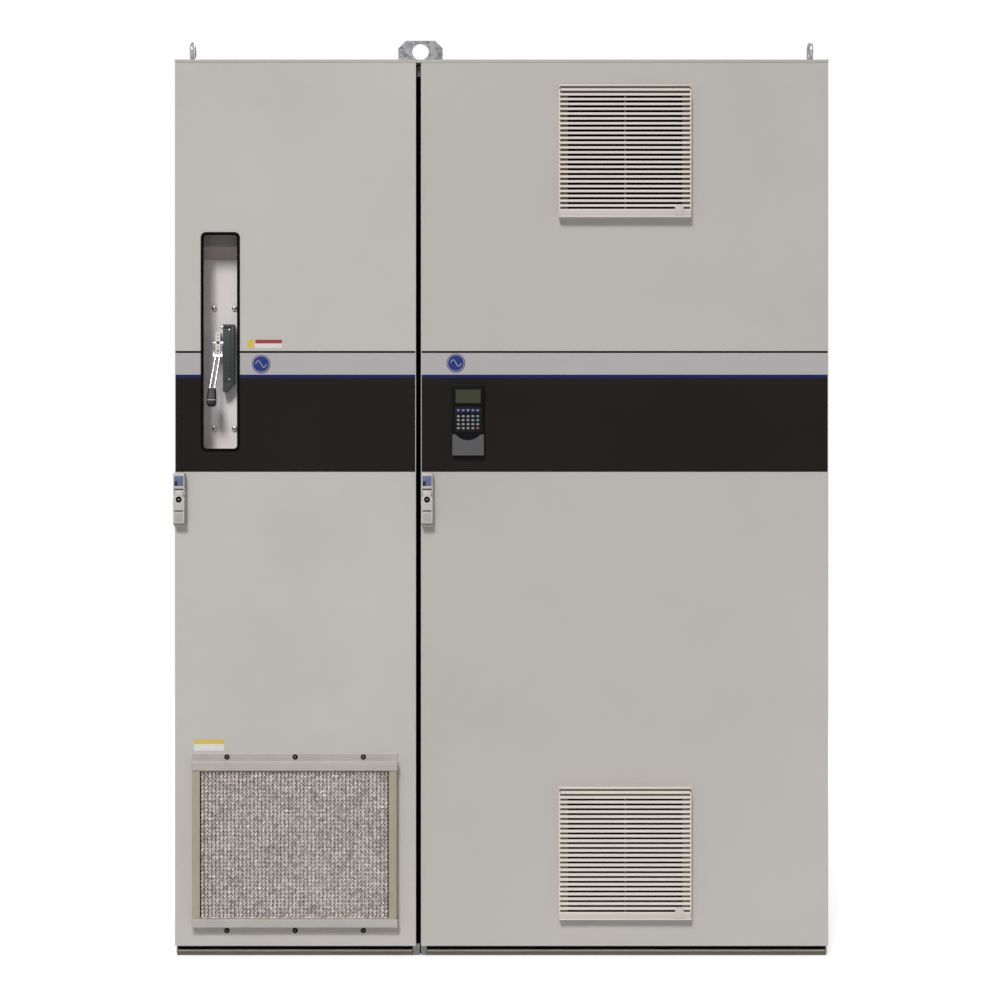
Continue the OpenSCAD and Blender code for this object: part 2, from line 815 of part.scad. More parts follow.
// Lever that swings out at its foot; its hub lies between the ears
module latch_lever(x) {
    pivot_y = lever_pivot[0];
    pivot_z = lever_pivot[1];
    mid = x + latch_w / 2;
    half = latch_inner_w / 2;
    front = face_y - 23.5;
    rear = face_y - 9.5;
    color(pale_plastic)
    difference() {
        union() {
            box([x, front, latch_z0 + 4], [x + latch_w, rear, pivot_z - 12.5]);
            box([mid - half, front, pivot_z - 12.5], [mid + half, rear, pivot_z]);
            rod_x([mid - half, pivot_y, pivot_z], 2 * half, 5.5);
            rod_x([x + 0.2, pivot_y, pivot_z], latch_w - 0.4, 2.5);
        }
        rod_back([mid, front - 1, lock_z], 12.5, lock_r + run_clear);
        // Hollow behind the grip for the fingers
        box([x + 3, rear - 6, latch_z0 + 3], [x + latch_w - 3, rear + 1, latch_z0 + 34]);
    }
}

module lock(x) {
    color(black)
    difference() {
        rod_back([x + latch_w / 2, face_y - front_reach, lock_z], 12, lock_r);
        box([x + latch_w / 2 - 1, face_y - front_reach - 1, lock_z - 4.5],
            [x + latch_w / 2 + 1, face_y - front_reach + 4, lock_z + 4.5]);
    }
}

// Flat rod with studs that ride up off the keepers
module lock_rod(x0) {
    color(zinc)
    union() {
        box([x0 + rod_in[0], rod_y[0], rod_z[0]], [x0 + rod_in[1], rod_y[1], rod_z[1]]);
        for (z = keeper_zs)
            rod_back([x0 + (rod_in[0] + rod_in[1]) / 2, rod_y[1] - 1, z + keeper_h / 2 + 6], 9, 4);
    }
}

module latch_keepers() {
    color(zinc)
    for (d = [input_door_x, power_door_x], z = keeper_zs)
        box([d[0] + rod_in[0], keeper_y, z - keeper_h / 2], [d[0] + rod_in[1], frame_y0, z + keeper_h / 2]);
}

module input_latch_case() { latch_case(input_latch_x); }
module power_latch_case() { latch_case(power_latch_x); }
module input_latch_lever() { latch_lever(input_latch_x); }
module power_latch_lever() { latch_lever(power_latch_x); }
module input_lock() { lock(input_latch_x); }
module power_lock() { lock(power_latch_x); }
module input_lock_rod() { lock_rod(input_door_x[0]); }
module power_lock_rod() { lock_rod(power_door_x[0]); }

// ---- Intake filter ----

rail_over = 2;
flange_h = 23;

// Channel rails above and below the filter, and the stop at the right end
module filter_rails() {
    x0 = filter_x0 - rail_over;
    x1 = filter_x0 + filter_w + rail_over;
    front = face_y - front_reach;
    lip = 17;
    color("silver")
    union() {
        box([x0, face_y - 2, filter_z1 - lip], [x1, face_y, filter_z1 + flange_h]);
        box([x0, front, filter_z1 + 0.5], [x1, face_y, filter_z1 + 2.5]);
        box([x0, front, filter_z1 - lip], [x1, front + 2, filter_z1 + 2.5]);
        box([x0, face_y - 2, filter_z0 - flange_h], [x1, face_y, filter_z0 + lip]);
        box([x0, front, filter_z0 - 2.5], [x1, face_y, filter_z0 - 0.5]);
        box([x0, front, filter_z0 - 2.5], [x1, front + 2, filter_z0 + lip]);
        for (z = [[filter_z0 - 2.5, filter_z0 + lip], [filter_z1 - lip, filter_z1 + 2.5]])
            box([x1 - 1.5, front, z[0]], [x1, face_y, z[1]]);
    }
}
module filter_screws() {
    screw_out = 14;
    color(black)
    for (dx = [-167, 0, 167], z = [filter_z0 - screw_out, filter_z1 + screw_out])
        rod_back([filter_x0 + filter_w / 2 + dx, face_y - 5, z], 3, 6);
}
module filter_frame() {
    wall = 1.5;
    low = [filter_x0, filter_y - filter_d, filter_z0];
    high = [filter_x0 + filter_w, filter_y, filter_z1];
    color("silver")
    difference() {
        box(low, high);
        box(low + [filter_rim, -1, filter_rim], high + [-filter_rim, 1, -filter_rim]);
        box(low + [wall, wall, wall], high - [wall, wall, wall]);
    }
}
module filter_mesh() {
    wall = 1.5;
    color([0.60, 0.58, 0.54])
    box([filter_x0 + wall, filter_y - filter_d + wall, filter_z0 + wall],
        [filter_x0 + filter_w - wall, filter_y - wall, filter_z1 - wall]);
}

// ---- Louvred grilles ----

cover_d = 16;
cover_back = face_y - grille_ring_d - 0.6;
ear_clear = 0.3;
ear_drop = 9.5;
grille_pin_r = 1.5;

// Ring on the door's face, sleeve through the door, and two ears that hold the cover's pins
module grille_frames() {
    half = grille_w / 2;
    ear_w = 3.5;
    color(pale_plastic)
    for (z = grille_zs)
        difference() {
            union() {
                box([grille_x - half, face_y - grille_ring_d, z - half], [grille_x + half, face_y, z + half]);
                box([grille_x - sleeve_w / 2, face_y - 1, z - sleeve_w / 2],
                    [grille_x + sleeve_w / 2, sleeve_y1, z + sleeve_w / 2]);
                for (x = [grille_x - half, grille_x + half - ear_w])
                    box([x, grille_axis_y - 3, z + half - ear_drop], [x + ear_w, face_y - 1, z + half]);
            }
            box([grille_x - sleeve_w / 2 + 3, face_y - 20, z - sleeve_w / 2 + 3],
                [grille_x + sleeve_w / 2 - 3, sleeve_y1 + 1, z + sleeve_w / 2 - 3]);
            rod_x([grille_x - half - 1, grille_axis_y, z + half - grille_axis_in], grille_w + 2,
                grille_pin_r + run_clear);
        }
}

module louvre_cover(z) {
    half = grille_w / 2;
    wall = 3;
    cut_w = 3.5 + ear_clear;
    pitch = 11.6;
    slot_h = 5.5;
    slot_w = 138;
    mullion = 6;
    front = cover_back - cover_d;
    color(pale_plastic)
    union() {
        difference() {
            box([grille_x - half, front, z - half], [grille_x + half, cover_back, z + half]);
            box([grille_x - half + cut_w + wall, front + wall, z - half + wall],
                [grille_x + half - cut_w - wall, cover_back + 1, z + half - 4]);
            for (x = [grille_x - half - 1, grille_x + half - cut_w])
                box([x, front - 1, z + half - ear_drop - 1], [x + cut_w + 1, cover_back + 1, z + half + 1]);
            for (i = [0 : slots - 1], side = [-1, 1])
                box([grille_x + (side < 0 ? -mullion / 2 - slot_w : mullion / 2), front - 1,
                        z + half - 26 - i * pitch - slot_h],
                    [grille_x + (side < 0 ? -mullion / 2 : mullion / 2 + slot_w), front + wall + 1,
                        z + half - 26 - i * pitch]);
        }
        for (side = [-1, 1])
            rod_x([side < 0 ? grille_x - half + 0.2 : grille_x + half - cut_w - 1, grille_axis_y,
                z + half - grille_axis_in], cut_w + 0.8, grille_pin_r);
    }
}
module upper_grille() { louvre_cover(grille_high_z); }
module lower_grille() { louvre_cover(grille_low_z); }

// Fibre mats inside the sleeves
module filter_mats() {
    half = sleeve_w / 2 - 3;
    color([0.85, 0.85, 0.82])
    for (z = grille_zs)
        box([grille_x - half, face_y - 5, z - half], [grille_x + half, face_y + 12, z + half]);
}

// ---- Keypad ----

function cell_x(i) = keypad_x + (i - 2) * key_dx;
function is_loose(i, j) = [i, j] == start_cell || [i, j] == stop_cell;

module key_block(i, j, y0, y1, grow) {
    box([cell_x(i) - key_w / 2 - grow, y0, keypad_z0 + key_zs[j] - key_h / 2 - grow],
        [cell_x(i) + key_w / 2 + grow, y1, keypad_z0 + key_zs[j] + key_h / 2 + grow]);
}

// Case with the display's window frame, the moulded key mat and the pale base
module keypad_case() {
    key_face = keypad_y - 2;
    color(module_grey)
    difference() {
        union() {
            rounded_slab(keypad_x, keypad_z0 + keypad_h / 2, keypad_w, keypad_h, 4, keypad_y, face_y);
            rounded_slab(keypad_x, keypad_z0 + 146.5, 66, 38, 2, keypad_y - 1.5, face_y);
            for (i = [0 : 4], j = [0 : 4])
                if (!is_loose(i, j)) key_block(i, j, key_face, keypad_y, 0);
            rounded_slab(keypad_x, keypad_z0 + 26, keypad_w, 51, 3, keypad_y - 3, face_y);
        }
        for (c = [start_cell, stop_cell]) key_block(c[0], c[1], keypad_y - 3, keypad_y + 6, 0.3);
    }
}
module loose_key(cell, tint) {
    color(tint) key_block(cell[0], cell[1], keypad_y - 2.5, keypad_y + 4, 0);
}
module start_key() { loose_key(start_cell, [0.15, 0.50, 0.42]); }
module stop_key() { loose_key(stop_cell, [0.75, 0.15, 0.12]); }

frame_posts();
frame_rails();
base_corners();
roof_plates();
side_panels();
rear_panels();
gland_plates();
baying_seal();
eyebolts();
lifting_plates();
frame_fasteners();
hinge_brackets();
hinge_pins();
latch_keepers();
mounting_plates();
disconnect_plate();
disconnect_case();
disconnect_switch();
line_fuses();
line_contactor();
reactor_core();
reactor_coils();
converter_module();
inverter_module();
capacitor_bank();
busbars();
control_cage();
blower_housing();
blower_wheel();
handle_rods();
handle_grip();
switch_toggle();
input_door();
input_gasket();
input_hinge_leaves();
window_trim();
input_latch_case();
input_latch_lever();
input_lock();
input_lock_rod();
filter_rails();
filter_screws();
filter_frame();
filter_mesh();
power_door();
power_gasket();
power_hinge_leaves();
power_latch_case();
power_latch_lever();
power_lock();
power_lock_rod();
grille_frames();
upper_grille();
lower_grille();
filter_mats();
vent_fan_housing();
vent_fan_impeller();
keypad_case();
start_key();
stop_key();
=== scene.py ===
"""Looks of a floor-standing variable frequency drive, built round its CAD frame.

Metres, Z up, front to -Y.
"""
import json
import math

import bmesh
import bpy
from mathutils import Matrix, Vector, noise


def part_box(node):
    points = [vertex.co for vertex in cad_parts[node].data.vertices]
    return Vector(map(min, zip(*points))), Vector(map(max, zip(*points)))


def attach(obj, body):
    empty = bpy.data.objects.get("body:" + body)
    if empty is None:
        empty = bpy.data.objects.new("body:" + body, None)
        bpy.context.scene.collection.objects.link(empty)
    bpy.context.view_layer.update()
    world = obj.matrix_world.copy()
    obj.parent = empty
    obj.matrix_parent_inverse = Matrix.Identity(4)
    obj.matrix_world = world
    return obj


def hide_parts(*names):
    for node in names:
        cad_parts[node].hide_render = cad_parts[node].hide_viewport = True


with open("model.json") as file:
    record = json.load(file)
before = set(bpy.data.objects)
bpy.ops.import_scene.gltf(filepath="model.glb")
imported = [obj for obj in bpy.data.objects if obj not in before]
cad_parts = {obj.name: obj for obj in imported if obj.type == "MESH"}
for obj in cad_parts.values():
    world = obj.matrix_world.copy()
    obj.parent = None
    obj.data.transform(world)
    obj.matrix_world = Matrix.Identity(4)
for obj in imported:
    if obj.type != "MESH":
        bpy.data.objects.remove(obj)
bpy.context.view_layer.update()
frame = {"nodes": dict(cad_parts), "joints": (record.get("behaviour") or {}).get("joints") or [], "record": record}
MM = 0.001
TO_FRONT = (0, -1, 0)

# ---------------------------------------------------------------- camera, light and floor

EYE_DISTANCE = 5.3
FRAME_WIDTH = 2.449
SENSOR = 36.0
AIM = Vector((-0.004, 0.0, 1.121))
DOOR_FACE_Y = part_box("input_door")[0].y
AMBIENT = 0.26
SUN_FROM = Vector((-0.167, -0.724, 0.669))
SUN_STRENGTH = 2.35
SUN_SPREAD = math.radians(15)
REAR_WATTS = 110
FLOOR_GLOW = 0.42


def make_camera():
    """Level camera before the doors; FRAME_WIDTH is what it sees across at their face."""
    data = bpy.data.cameras.new("camera")
    data.sensor_width = SENSOR
    data.lens = SENSOR * EYE_DISTANCE / FRAME_WIDTH
    data.clip_end = 50
    cam = bpy.data.objects.new("camera", data)
    cam.location = (AIM.x, DOOR_FACE_Y - EYE_DISTANCE, AIM.z)
    cam.rotation_euler = (math.pi / 2, 0, 0)
    bpy.context.scene.collection.objects.link(cam)
    bpy.context.scene.camera = cam


def area_light(name, place, aim, size, watts):
    """A rectangular lamp turned towards aim."""
    data = bpy.data.lights.new(name, "AREA")
    data.shape = "RECTANGLE"
    data.size, data.size_y = size
    data.energy = watts
    lamp = bpy.data.objects.new(name, data)
    lamp.location = place
    lamp.rotation_euler = (Vector(aim) - Vector(place)).to_track_quat("-Z", "Y").to_euler()
    bpy.context.scene.collection.objects.link(lamp)


def make_stage():
    """Floor, even surroundings, a soft key light from high in front and a lamp behind."""
    bpy.ops.mesh.primitive_plane_add(size=40, location=(0, 0, 0))
    floor = bpy.context.object
    floor.name = "floor"
    floor.data.materials.append(floor_white())
    world = bpy.data.worlds.new("studio")
    bpy.context.scene.world = world
    world.use_nodes = True
    tree = world.node_tree
    background = tree.nodes["Background"]
    background.inputs["Color"].default_value = (1.0, 1.0, 1.0, 1)
    seen = tree.nodes.new("ShaderNodeLightPath").outputs["Is Camera Ray"]
    strength = tree.nodes.new("ShaderNodeMapRange")
    strength.inputs["To Min"].default_value = AMBIENT
    strength.inputs["To Max"].default_value = 1.0
    tree.links.new(seen, strength.inputs["Value"])
    tree.links.new(strength.outputs["Result"], background.inputs["Strength"])
    bpy.context.scene.view_settings.view_transform = "Standard"
    sun = bpy.data.lights.new("key", "SUN")
    sun.energy = SUN_STRENGTH
    sun.angle = SUN_SPREAD
    lamp = bpy.data.objects.new("key", sun)
    lamp.rotation_euler = SUN_FROM.to_track_quat("Z", "Y").to_euler()
    bpy.context.scene.collection.objects.link(lamp)
    area_light("rear", (1.5, 4.0, 4.0), (0, 0, 1.2), (2.5, 2.5), REAR_WATTS)


# ---------------------------------------------------------------- materials


def srgb(r, g, b):
    """A colour given as 0 to 255 screen values, as linear light."""
    def channel(v):
        v /= 255
        return v / 12.92 if v <= 0.04045 else ((v + 0.055) / 1.055) ** 2.4
    return (channel(r), channel(g), channel(b))


class Mat:
    """A node material with its Principled shader, and short calls that add nodes."""

    def __init__(self, name, rough=0.5, metal=0.0, **sockets):
        self.mat = bpy.data.materials.new(name)
        self.mat.use_nodes = True
        self.tree = self.mat.node_tree
        self.shader = self.tree.nodes["Principled BSDF"]
        self.shader.inputs["Roughness"].default_value = rough
        self.shader.inputs["Metallic"].default_value = metal
        for key, value in sockets.items():
            self.shader.inputs[key.replace("_", " ")].default_value = value
        self.place = self.add("ShaderNodeTexCoord").outputs["Object"]

    def add(self, kind, **inputs):
        """A node of a kind, with its inputs set or linked by name."""
        node = self.tree.nodes.new(kind)
        for key, value in inputs.items():
            socket = node.inputs[key]
            if isinstance(value, bpy.types.NodeSocket):
                self.tree.links.new(value, socket)
            else:
                socket.default_value = value
        return node

    def scaled(self, x, y, z):
        """Object coordinates stretched along each axis."""
        node = self.add("ShaderNodeMapping", Vector=self.place)
        node.inputs["Scale"].default_value = (x, y, z)
        return node.outputs["Vector"]

    def noise(self, scale, detail=4.0, rough=0.55, vector=None):
        node = self.add("ShaderNodeTexNoise", Vector=vector or self.place, Scale=scale, Detail=detail,
                        Roughness=rough)
        return node.outputs["Fac"]

    def ramp(self, fac, *stops):
        """Colour stops (position, colour) along fac."""
        node = self.add("ShaderNodeValToRGB", Fac=fac)
        ramp = node.color_ramp
        while len(ramp.elements) < len(stops):
            ramp.elements.new(0.5)
        for element, (position, tint) in zip(ramp.elements, stops):
            element.position = position
            element.color = (*tint, 1)
        return node.outputs["Color"]

    def math(self, kind, a, b=0.0):
        node = self.tree.nodes.new("ShaderNodeMath")
        node.operation = kind
        for socket, value in zip(node.inputs, (a, b)):
            if isinstance(value, bpy.types.NodeSocket):
                self.tree.links.new(value, socket)
            else:
                socket.default_value = value
        return node.outputs[0]

    def blend(self, a, share_a, b, share_b):
        """Two values added up by their shares."""
        return self.math("ADD", self.math("MULTIPLY", a, share_a), self.math("MULTIPLY", b, share_b))

    def bump(self, height, strength=0.2, distance=0.0005):
        node = self.add("ShaderNodeBump", Height=height, Strength=strength, Distance=distance)
        self.tree.links.new(node.outputs["Normal"], self.shader.inputs["Normal"])

    def colour(self, value):
        if isinstance(value, bpy.types.NodeSocket):
            self.tree.links.new(value, self.shader.inputs["Base Color"])
        else:
            self.shader.inputs["Base Color"].default_value = (*value, 1)

    def roughness(self, fac, low, high):
        node = self.add("ShaderNodeMapRange", Value=fac)
        node.inputs["To Min"].default_value = low
        node.inputs["To Max"].default_value = high
        self.tree.links.new(node.outputs["Result"], self.shader.inputs["Roughness"])


def shade(tint, factor):
    """A tint made lighter or darker by factor."""
    return tuple(min(1.0, c * factor) for c in tint)


def floor_white():
    """White ground that glows a little to the eye, though not onto the object."""
    m = Mat("floor_white", 0.9, Emission_Color=(1, 1, 1, 1))
    m.colour((0.8, 0.8, 0.8))
    seen = m.tree.nodes.new("ShaderNodeLightPath").outputs["Is Camera Ray"]
    m.tree.links.new(m.math("MULTIPLY", seen, FLOOR_GLOW), m.shader.inputs["Emission Strength"])
    return m.mat


def mottled(name, tint, rough=0.5, metal=0.0, grain=900.0, patch=6.0, spread=0.06, bump=0.15,
            rough_spread=0.08,
            **sockets):
    """A tint that drifts a little over patches and speckles over grains, with the same grain as bump."""
    m = Mat(name, rough, metal, **sockets)
    fine = m.noise(grain, 3.0)
    broad = m.noise(patch, 4.0)
    both = m.blend(fine, 0.45, broad, 0.55)
    m.colour(m.ramp(both, (0.3, shade(tint, 1 - spread)), (0.7, shade(tint, 1 + spread))))
    m.roughness(broad, max(0.02, rough - rough_spread), min(1.0, rough + rough_spread))
    if bump:
        m.bump(fine, bump, 0.0003)
    return m.mat


def powder_coat(name, tint, rough=0.52):
    """Fine-textured powder coat: orange-peel bump, faint cloudiness and fine flecks."""
    m = Mat(name, rough)
    peel = m.noise(750.0, 2.5, 0.5)
    cloud = m.noise(2.2, 5.0, 0.6)
    speck = m.noise(2600.0, 1.0)
    base = m.ramp(cloud, (0.35, shade(tint, 0.975)), (0.65, shade(tint, 1.02)))
    flecks = m.ramp(speck, (0.30, (0.93, 0.93, 0.93)), (0.55, (1.0, 1.0, 1.0)), (0.75, (1.035, 1.035, 1.035)))
    mix = m.add("ShaderNodeMix")
    mix.data_type = "RGBA"
    mix.blend_type = "MULTIPLY"
    mix.inputs["Factor"].default_value = 1.0
    m.tree.links.new(base, mix.inputs[6])
    m.tree.links.new(flecks, mix.inputs[7])
    m.colour(mix.outputs[2])
    m.roughness(cloud, rough - 0.06, rough + 0.06)
    m.bump(peel, 0.22, 0.0002)
    return m.mat


def zinc_plate(name, tint, rough=0.38):
    """Galvanised sheet with crystal spangle."""
    m = Mat(name, rough, 0.9)
    cells = m.add("ShaderNodeTexVoronoi", Vector=m.place, Scale=130.0)
    spangle = m.add("ShaderNodeSeparateColor", Color=cells.outputs["Color"]).outputs[0]
    streak = m.noise(9.0, 5.0)
    m.colour(m.ramp(m.blend(spangle, 0.5, streak, 0.5),
                    (0.2, shade(tint, 0.78)), (0.8, shade(tint, 1.15))))
    m.roughness(spangle, rough - 0.08, rough + 0.12)
    m.bump(m.noise(500.0), 0.08, 0.0002)
    return m.mat


def brushed(name, tint, rough=0.32, along="X", metal=1.0):
    """Metal with fine lines along one axis."""
    squeeze = {"X": (3, 900, 900), "Y": (900, 3, 900), "Z": (900, 900, 3)}[along]
    m = Mat(name, rough, metal)
    lines = m.noise(1.0, 3.0, 0.6, m.scaled(*squeeze))
    patch = m.noise(14.0, 4.0)
    m.colour(m.ramp(m.blend(lines, 0.5, patch, 0.5),
                    (0.3, shade(tint, 0.85)), (0.7, shade(tint, 1.1))))
    m.roughness(lines, rough - 0.08, rough + 0.14)
    m.bump(lines, 0.12, 0.0001)
    return m.mat


def banded_sheet(name, tint, rough):
    """Thinly painted folded sheet with faint upright bands."""
    m = Mat(name, rough)
    bands = m.noise(1.0, 2.0, 0.5, m.scaled(45, 4, 1.2))
    grain = m.noise(700.0, 2.0)
    both = m.blend(bands, 0.75, grain, 0.25)
    m.colour(m.ramp(both, (0.32, shade(tint, 0.88)), (0.5, tint), (0.68, shade(tint, 1.08))))
    m.roughness(bands, rough - 0.06, rough + 0.1)
    m.bump(grain, 0.08, 0.0002)
    return m.mat


def strand_metal(name, tint, rough):
    """Bright strand metal that changes from strand to strand."""
    m = Mat(name, rough, 0.35)
    cells = m.add("ShaderNodeTexVoronoi", Vector=m.place, Scale=170.0)
    tone = m.add("ShaderNodeSeparateColor", Color=cells.outputs["Color"]).outputs[0]
    drift = m.noise(7.0, 3.0)
    both = m.blend(tone, 0.8, drift, 0.2)
    m.colour(m.ramp(both, (0.15, shade(tint, 0.6)), (0.55, tint), (0.85, shade(tint, 1.25))))
    m.roughness(tone, rough - 0.16, rough + 0.2)
    return m.mat


PAINT = srgb(184, 180, 175)
MATERIALS = {
    "cabinet_paint": powder_coat("cabinet_paint", shade(PAINT, 0.97)),
    "door_paint": powder_coat("door_paint", PAINT),
    "galvanised": zinc_plate("galvanised", (0.36, 0.37, 0.385), 0.42),
    "recess_metal": banded_sheet("recess_metal", srgb(226, 220, 221), 0.42),
    "bright_steel": brushed("bright_steel", (0.66, 0.66, 0.68), 0.24, "Z"),
    "core_iron": brushed("core_iron", (0.11, 0.085, 0.075), 0.6, "X", 0.5),
    "winding_copper": brushed("winding_copper", (0.40, 0.16, 0.07), 0.35, "Z", 0.6),
    "bar_copper": brushed("bar_copper", (0.75, 0.36, 0.20), 0.28, "X"),
    "filter_aluminium": brushed("filter_aluminium", srgb(186, 181, 176), 0.48, "X", 0.35),
    "filter_media": strand_metal("filter_media", srgb(211, 202, 197), 0.5),
    "frame_beige": brushed("frame_beige", srgb(172, 160, 142), 0.55, "Z", 0.3),
    "plinth_bar": brushed("plinth_bar", srgb(206, 198, 184), 0.4, "X", 0.4),
    "eye_zinc": mottled("eye_zinc", srgb(206, 206, 210), 0.26, 0.45, 260, 14, 0.16, 0.12),
    "door_paint_pale": powder_coat("door_paint_pale", shade(PAINT, 1.06)),
}
# screen colour, roughness, grain, patches, spread, bump and, where it isn't the default, specular level
PLASTICS = {
    "black_rubber": ((11, 11, 12), 0.8, 700, 20, 0.3, 0.3, 0.06),
    "black_plastic": ((17, 17, 19), 0.45, 1200, 25, 0.25, 0.2, 0.25),
    "mechanism_case": ((66, 72, 70), 0.5, 800, 18, 0.12, 0.15, 0.25),
    "module_plastic": ((74, 76, 80), 0.5, 900, 9, 0.1, 0.2),
    "fuse_ceramic": ((214, 208, 196), 0.35, 500, 14, 0.06, 0.1),
    "can_aluminium": ((52, 78, 128), 0.3, 900, 12, 0.1, 0.08),
    "board_green": ((34, 92, 58), 0.35, 400, 60, 0.2, 0.2),
    "latch_plastic": ((190, 186, 181), 0.42, 1500, 25, 0.03, 0.12),
    "grille_plastic": ((220, 211, 203), 0.5, 1500, 12, 0.03, 0.12),
    # the mats are darkened past their own colour: painted shade, for the filter mats seen in shadow behind the
    # grille slats
    "mat_fibre": ((66, 63, 58), 0.95, 260, 40, 0.25, 0.8),
    "keypad_plastic": ((14, 13, 14), 0.45, 1600, 25, 0.2, 0.15, 0.1),
    "key_green": ((84, 132, 126), 0.45, 1600, 40, 0.1, 0.1),
    "key_red": ((150, 70, 66), 0.45, 1600, 40, 0.1, 0.1),
    "film_black": ((28, 24, 23), 0.4, 1800, 3, 0.12, 0.06, 0.15),
    "film_blue": ((22, 32, 84), 0.4, 1800, 6, 0.06, 0.06, 0.2),
    "film_light": ((174, 169, 170), 0.4, 1800, 4, 0.02, 0.06),
    # painted shade: the dark pad behind the filter mesh, for the shade inside the filter
    "pad_shade": ((120, 112, 104), 0.9, 300, 30, 0.3, 0.6),
    # painted shade: the dark tone of the hood in the operator's recess, for the shaded underside of the recess top
    "hood_shade_dark": ((140, 132, 126), 0.6, 600, 12, 0.05, 0.1),
    "indicator_white": ((232, 230, 224), 0.4, 1500, 40, 0.03, 0.08),
    "indicator_dark": ((58, 58, 60), 0.45, 1500, 40, 0.05, 0.08),
    "indicator_grey": ((150, 150, 148), 0.45, 1500, 40, 0.05, 0.08),
    # painted shade: the lighter tone of the same hood, for the shadow cast on the recess plate
    "hood_shade_mid": ((172, 160, 156), 0.6, 600, 12, 0.05, 0.1),
    "groove_shade": ((112, 103, 90), 0.6, 1500, 12, 0.04, 0.12),
    # painted shade: the shaded strip below the plinth's rolled bar
    "plinth_low_shade": ((124, 114, 102), 0.6, 700, 12, 0.15, 0.2),
    # painted shade: near-black for the shadowed gap between the doors
    "seam_shade_black": ((7, 7, 7), 0.9, 700, 20, 0.2, 0.2, 0.02),
    "grille_tab": ((198, 189, 184), 0.5, 1500, 12, 0.03, 0.12),
    # painted shade: near-black for the shade inside slots, holes and vents, and behind the grille slats
    "slot_shade": ((20, 14, 13), 0.9, 400, 30, 0.2, 0.3, 0.1),
    "key_lavender": ((112, 116, 168), 0.45, 1600, 60, 0.04, 0.1),
    "badge_blue": ((26, 50, 120), 0.3, 1800, 40, 0.06, 0.05),
    "label_white": ((214, 212, 208), 0.45, 1500, 30, 0.03, 0.05),
    "label_yellow": ((206, 184, 76), 0.45, 1500, 30, 0.04, 0.05),
    "label_red": ((158, 50, 56), 0.45, 1500, 30, 0.04, 0.05),
    "key_grey": ((134, 135, 138), 0.45, 1600, 60, 0.04, 0.1),
    "key_blue": ((18, 20, 50), 0.45, 1600, 60, 0.05, 0.1, 0.2),
    "key_teal": ((96, 134, 130), 0.45, 1600, 60, 0.05, 0.1),
    "keypad_deck": ((24, 23, 24), 0.5, 1600, 40, 0.1, 0.15, 0.12),
    "base_grey": ((86, 86, 89), 0.5, 1500, 30, 0.05, 0.15, 0.25),
    "display_glass": ((64, 66, 52), 0.2, 900, 20, 0.08, 0.0, 0.25),
    "latch_label": ((96, 106, 138), 0.4, 1500, 60, 0.06, 0.05),
    "latch_label_dark": ((22, 25, 44), 0.4, 1500, 60, 0.06, 0.05),
    "latch_panel": ((170, 167, 163), 0.5, 1500, 25, 0.03, 0.12),
    # painted shade: the olive-brown tone of the latch lever's shaded underside
    "latch_lip_shade": ((122, 114, 92), 0.5, 1500, 25, 0.04, 0.12),
}
for name, (tint, rough, grain, patch, spread, bump, *specular) in PLASTICS.items():
    MATERIALS[name] = mottled(name, srgb(*tint), rough, 0, grain, patch, spread, bump,
                              **{"Specular_IOR_Level": level for level in specular})
DONE = set()
SLOT_OF = {row["node"]: row["material_slot"] for row in frame["record"]["subparts"]}
BODY_OF = {node: body for body, nodes in frame["record"]["behaviour"]["bodies"].items() for node in nodes}

# ---------------------------------------------------------------- mesh helpers


def link(name, mesh):
    """A new object in the scene with this mesh."""
    piece = bpy.data.objects.new(name, mesh)
    bpy.context.scene.collection.objects.link(piece)
    return piece


def soften(piece, width, segments=2, angle=30):
    """Rounds a piece's sharp edges with a bevel."""
    piece.data.shade_smooth()
    bevel = piece.modifiers.new("edge", "BEVEL")
    bevel.width = width
    bevel.segments = segments
    bevel.limit_method = "ANGLE"
    bevel.angle_limit = math.radians(angle)
    bevel.harden_normals = True
    bevel.use_clamp_overlap = True


def smooth_by_angle(piece, angle=35):
    """Shades a piece smooth, save over edges that bend more than angle degrees."""
    piece.data.shade_smooth()
    piece.data.set_sharp_from_angle(angle=math.radians(angle))


def finish_piece(piece, material, body, replaces=()):
    """Gives a piece its materials, the body it rides on and the nodes it stands for."""
    for name in [material] if isinstance(material, str) else material:
        piece.data.materials.append(MATERIALS[name])
    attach(piece, body)
    if replaces:
        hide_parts(*replaces)
    return piece


def merged(node):
    """A CAD node's mesh with its triangles merged into whole faces."""
    work = bmesh.new()
    work.from_mesh(frame["nodes"][node].data)
    bmesh.ops.remove_doubles(work, verts=work.verts, dist=1e-6)
    bmesh.ops.dissolve_limit(work, angle_limit=math.radians(0.5), verts=work.verts, edges=work.edges)
    return work


def solids(node):
    """The lowest and highest corners of each separate solid of a CAD node."""
    work = merged(node)
    found, seen = [], set()
    for start in work.verts:
        if start in seen:
            continue
        group, queue = [], [start]
        seen.add(start)
        while queue:
            vert = queue.pop()
            group.append(vert.co.copy())
            for edge in vert.link_edges:
                other = edge.other_vert(vert)
                if other not in seen:
                    seen.add(other)
                    queue.append(other)
        found.append(tuple(Vector(pick(c[i] for c in group) for i in range(3)) for pick in (min, max)))
    work.free()
    return found


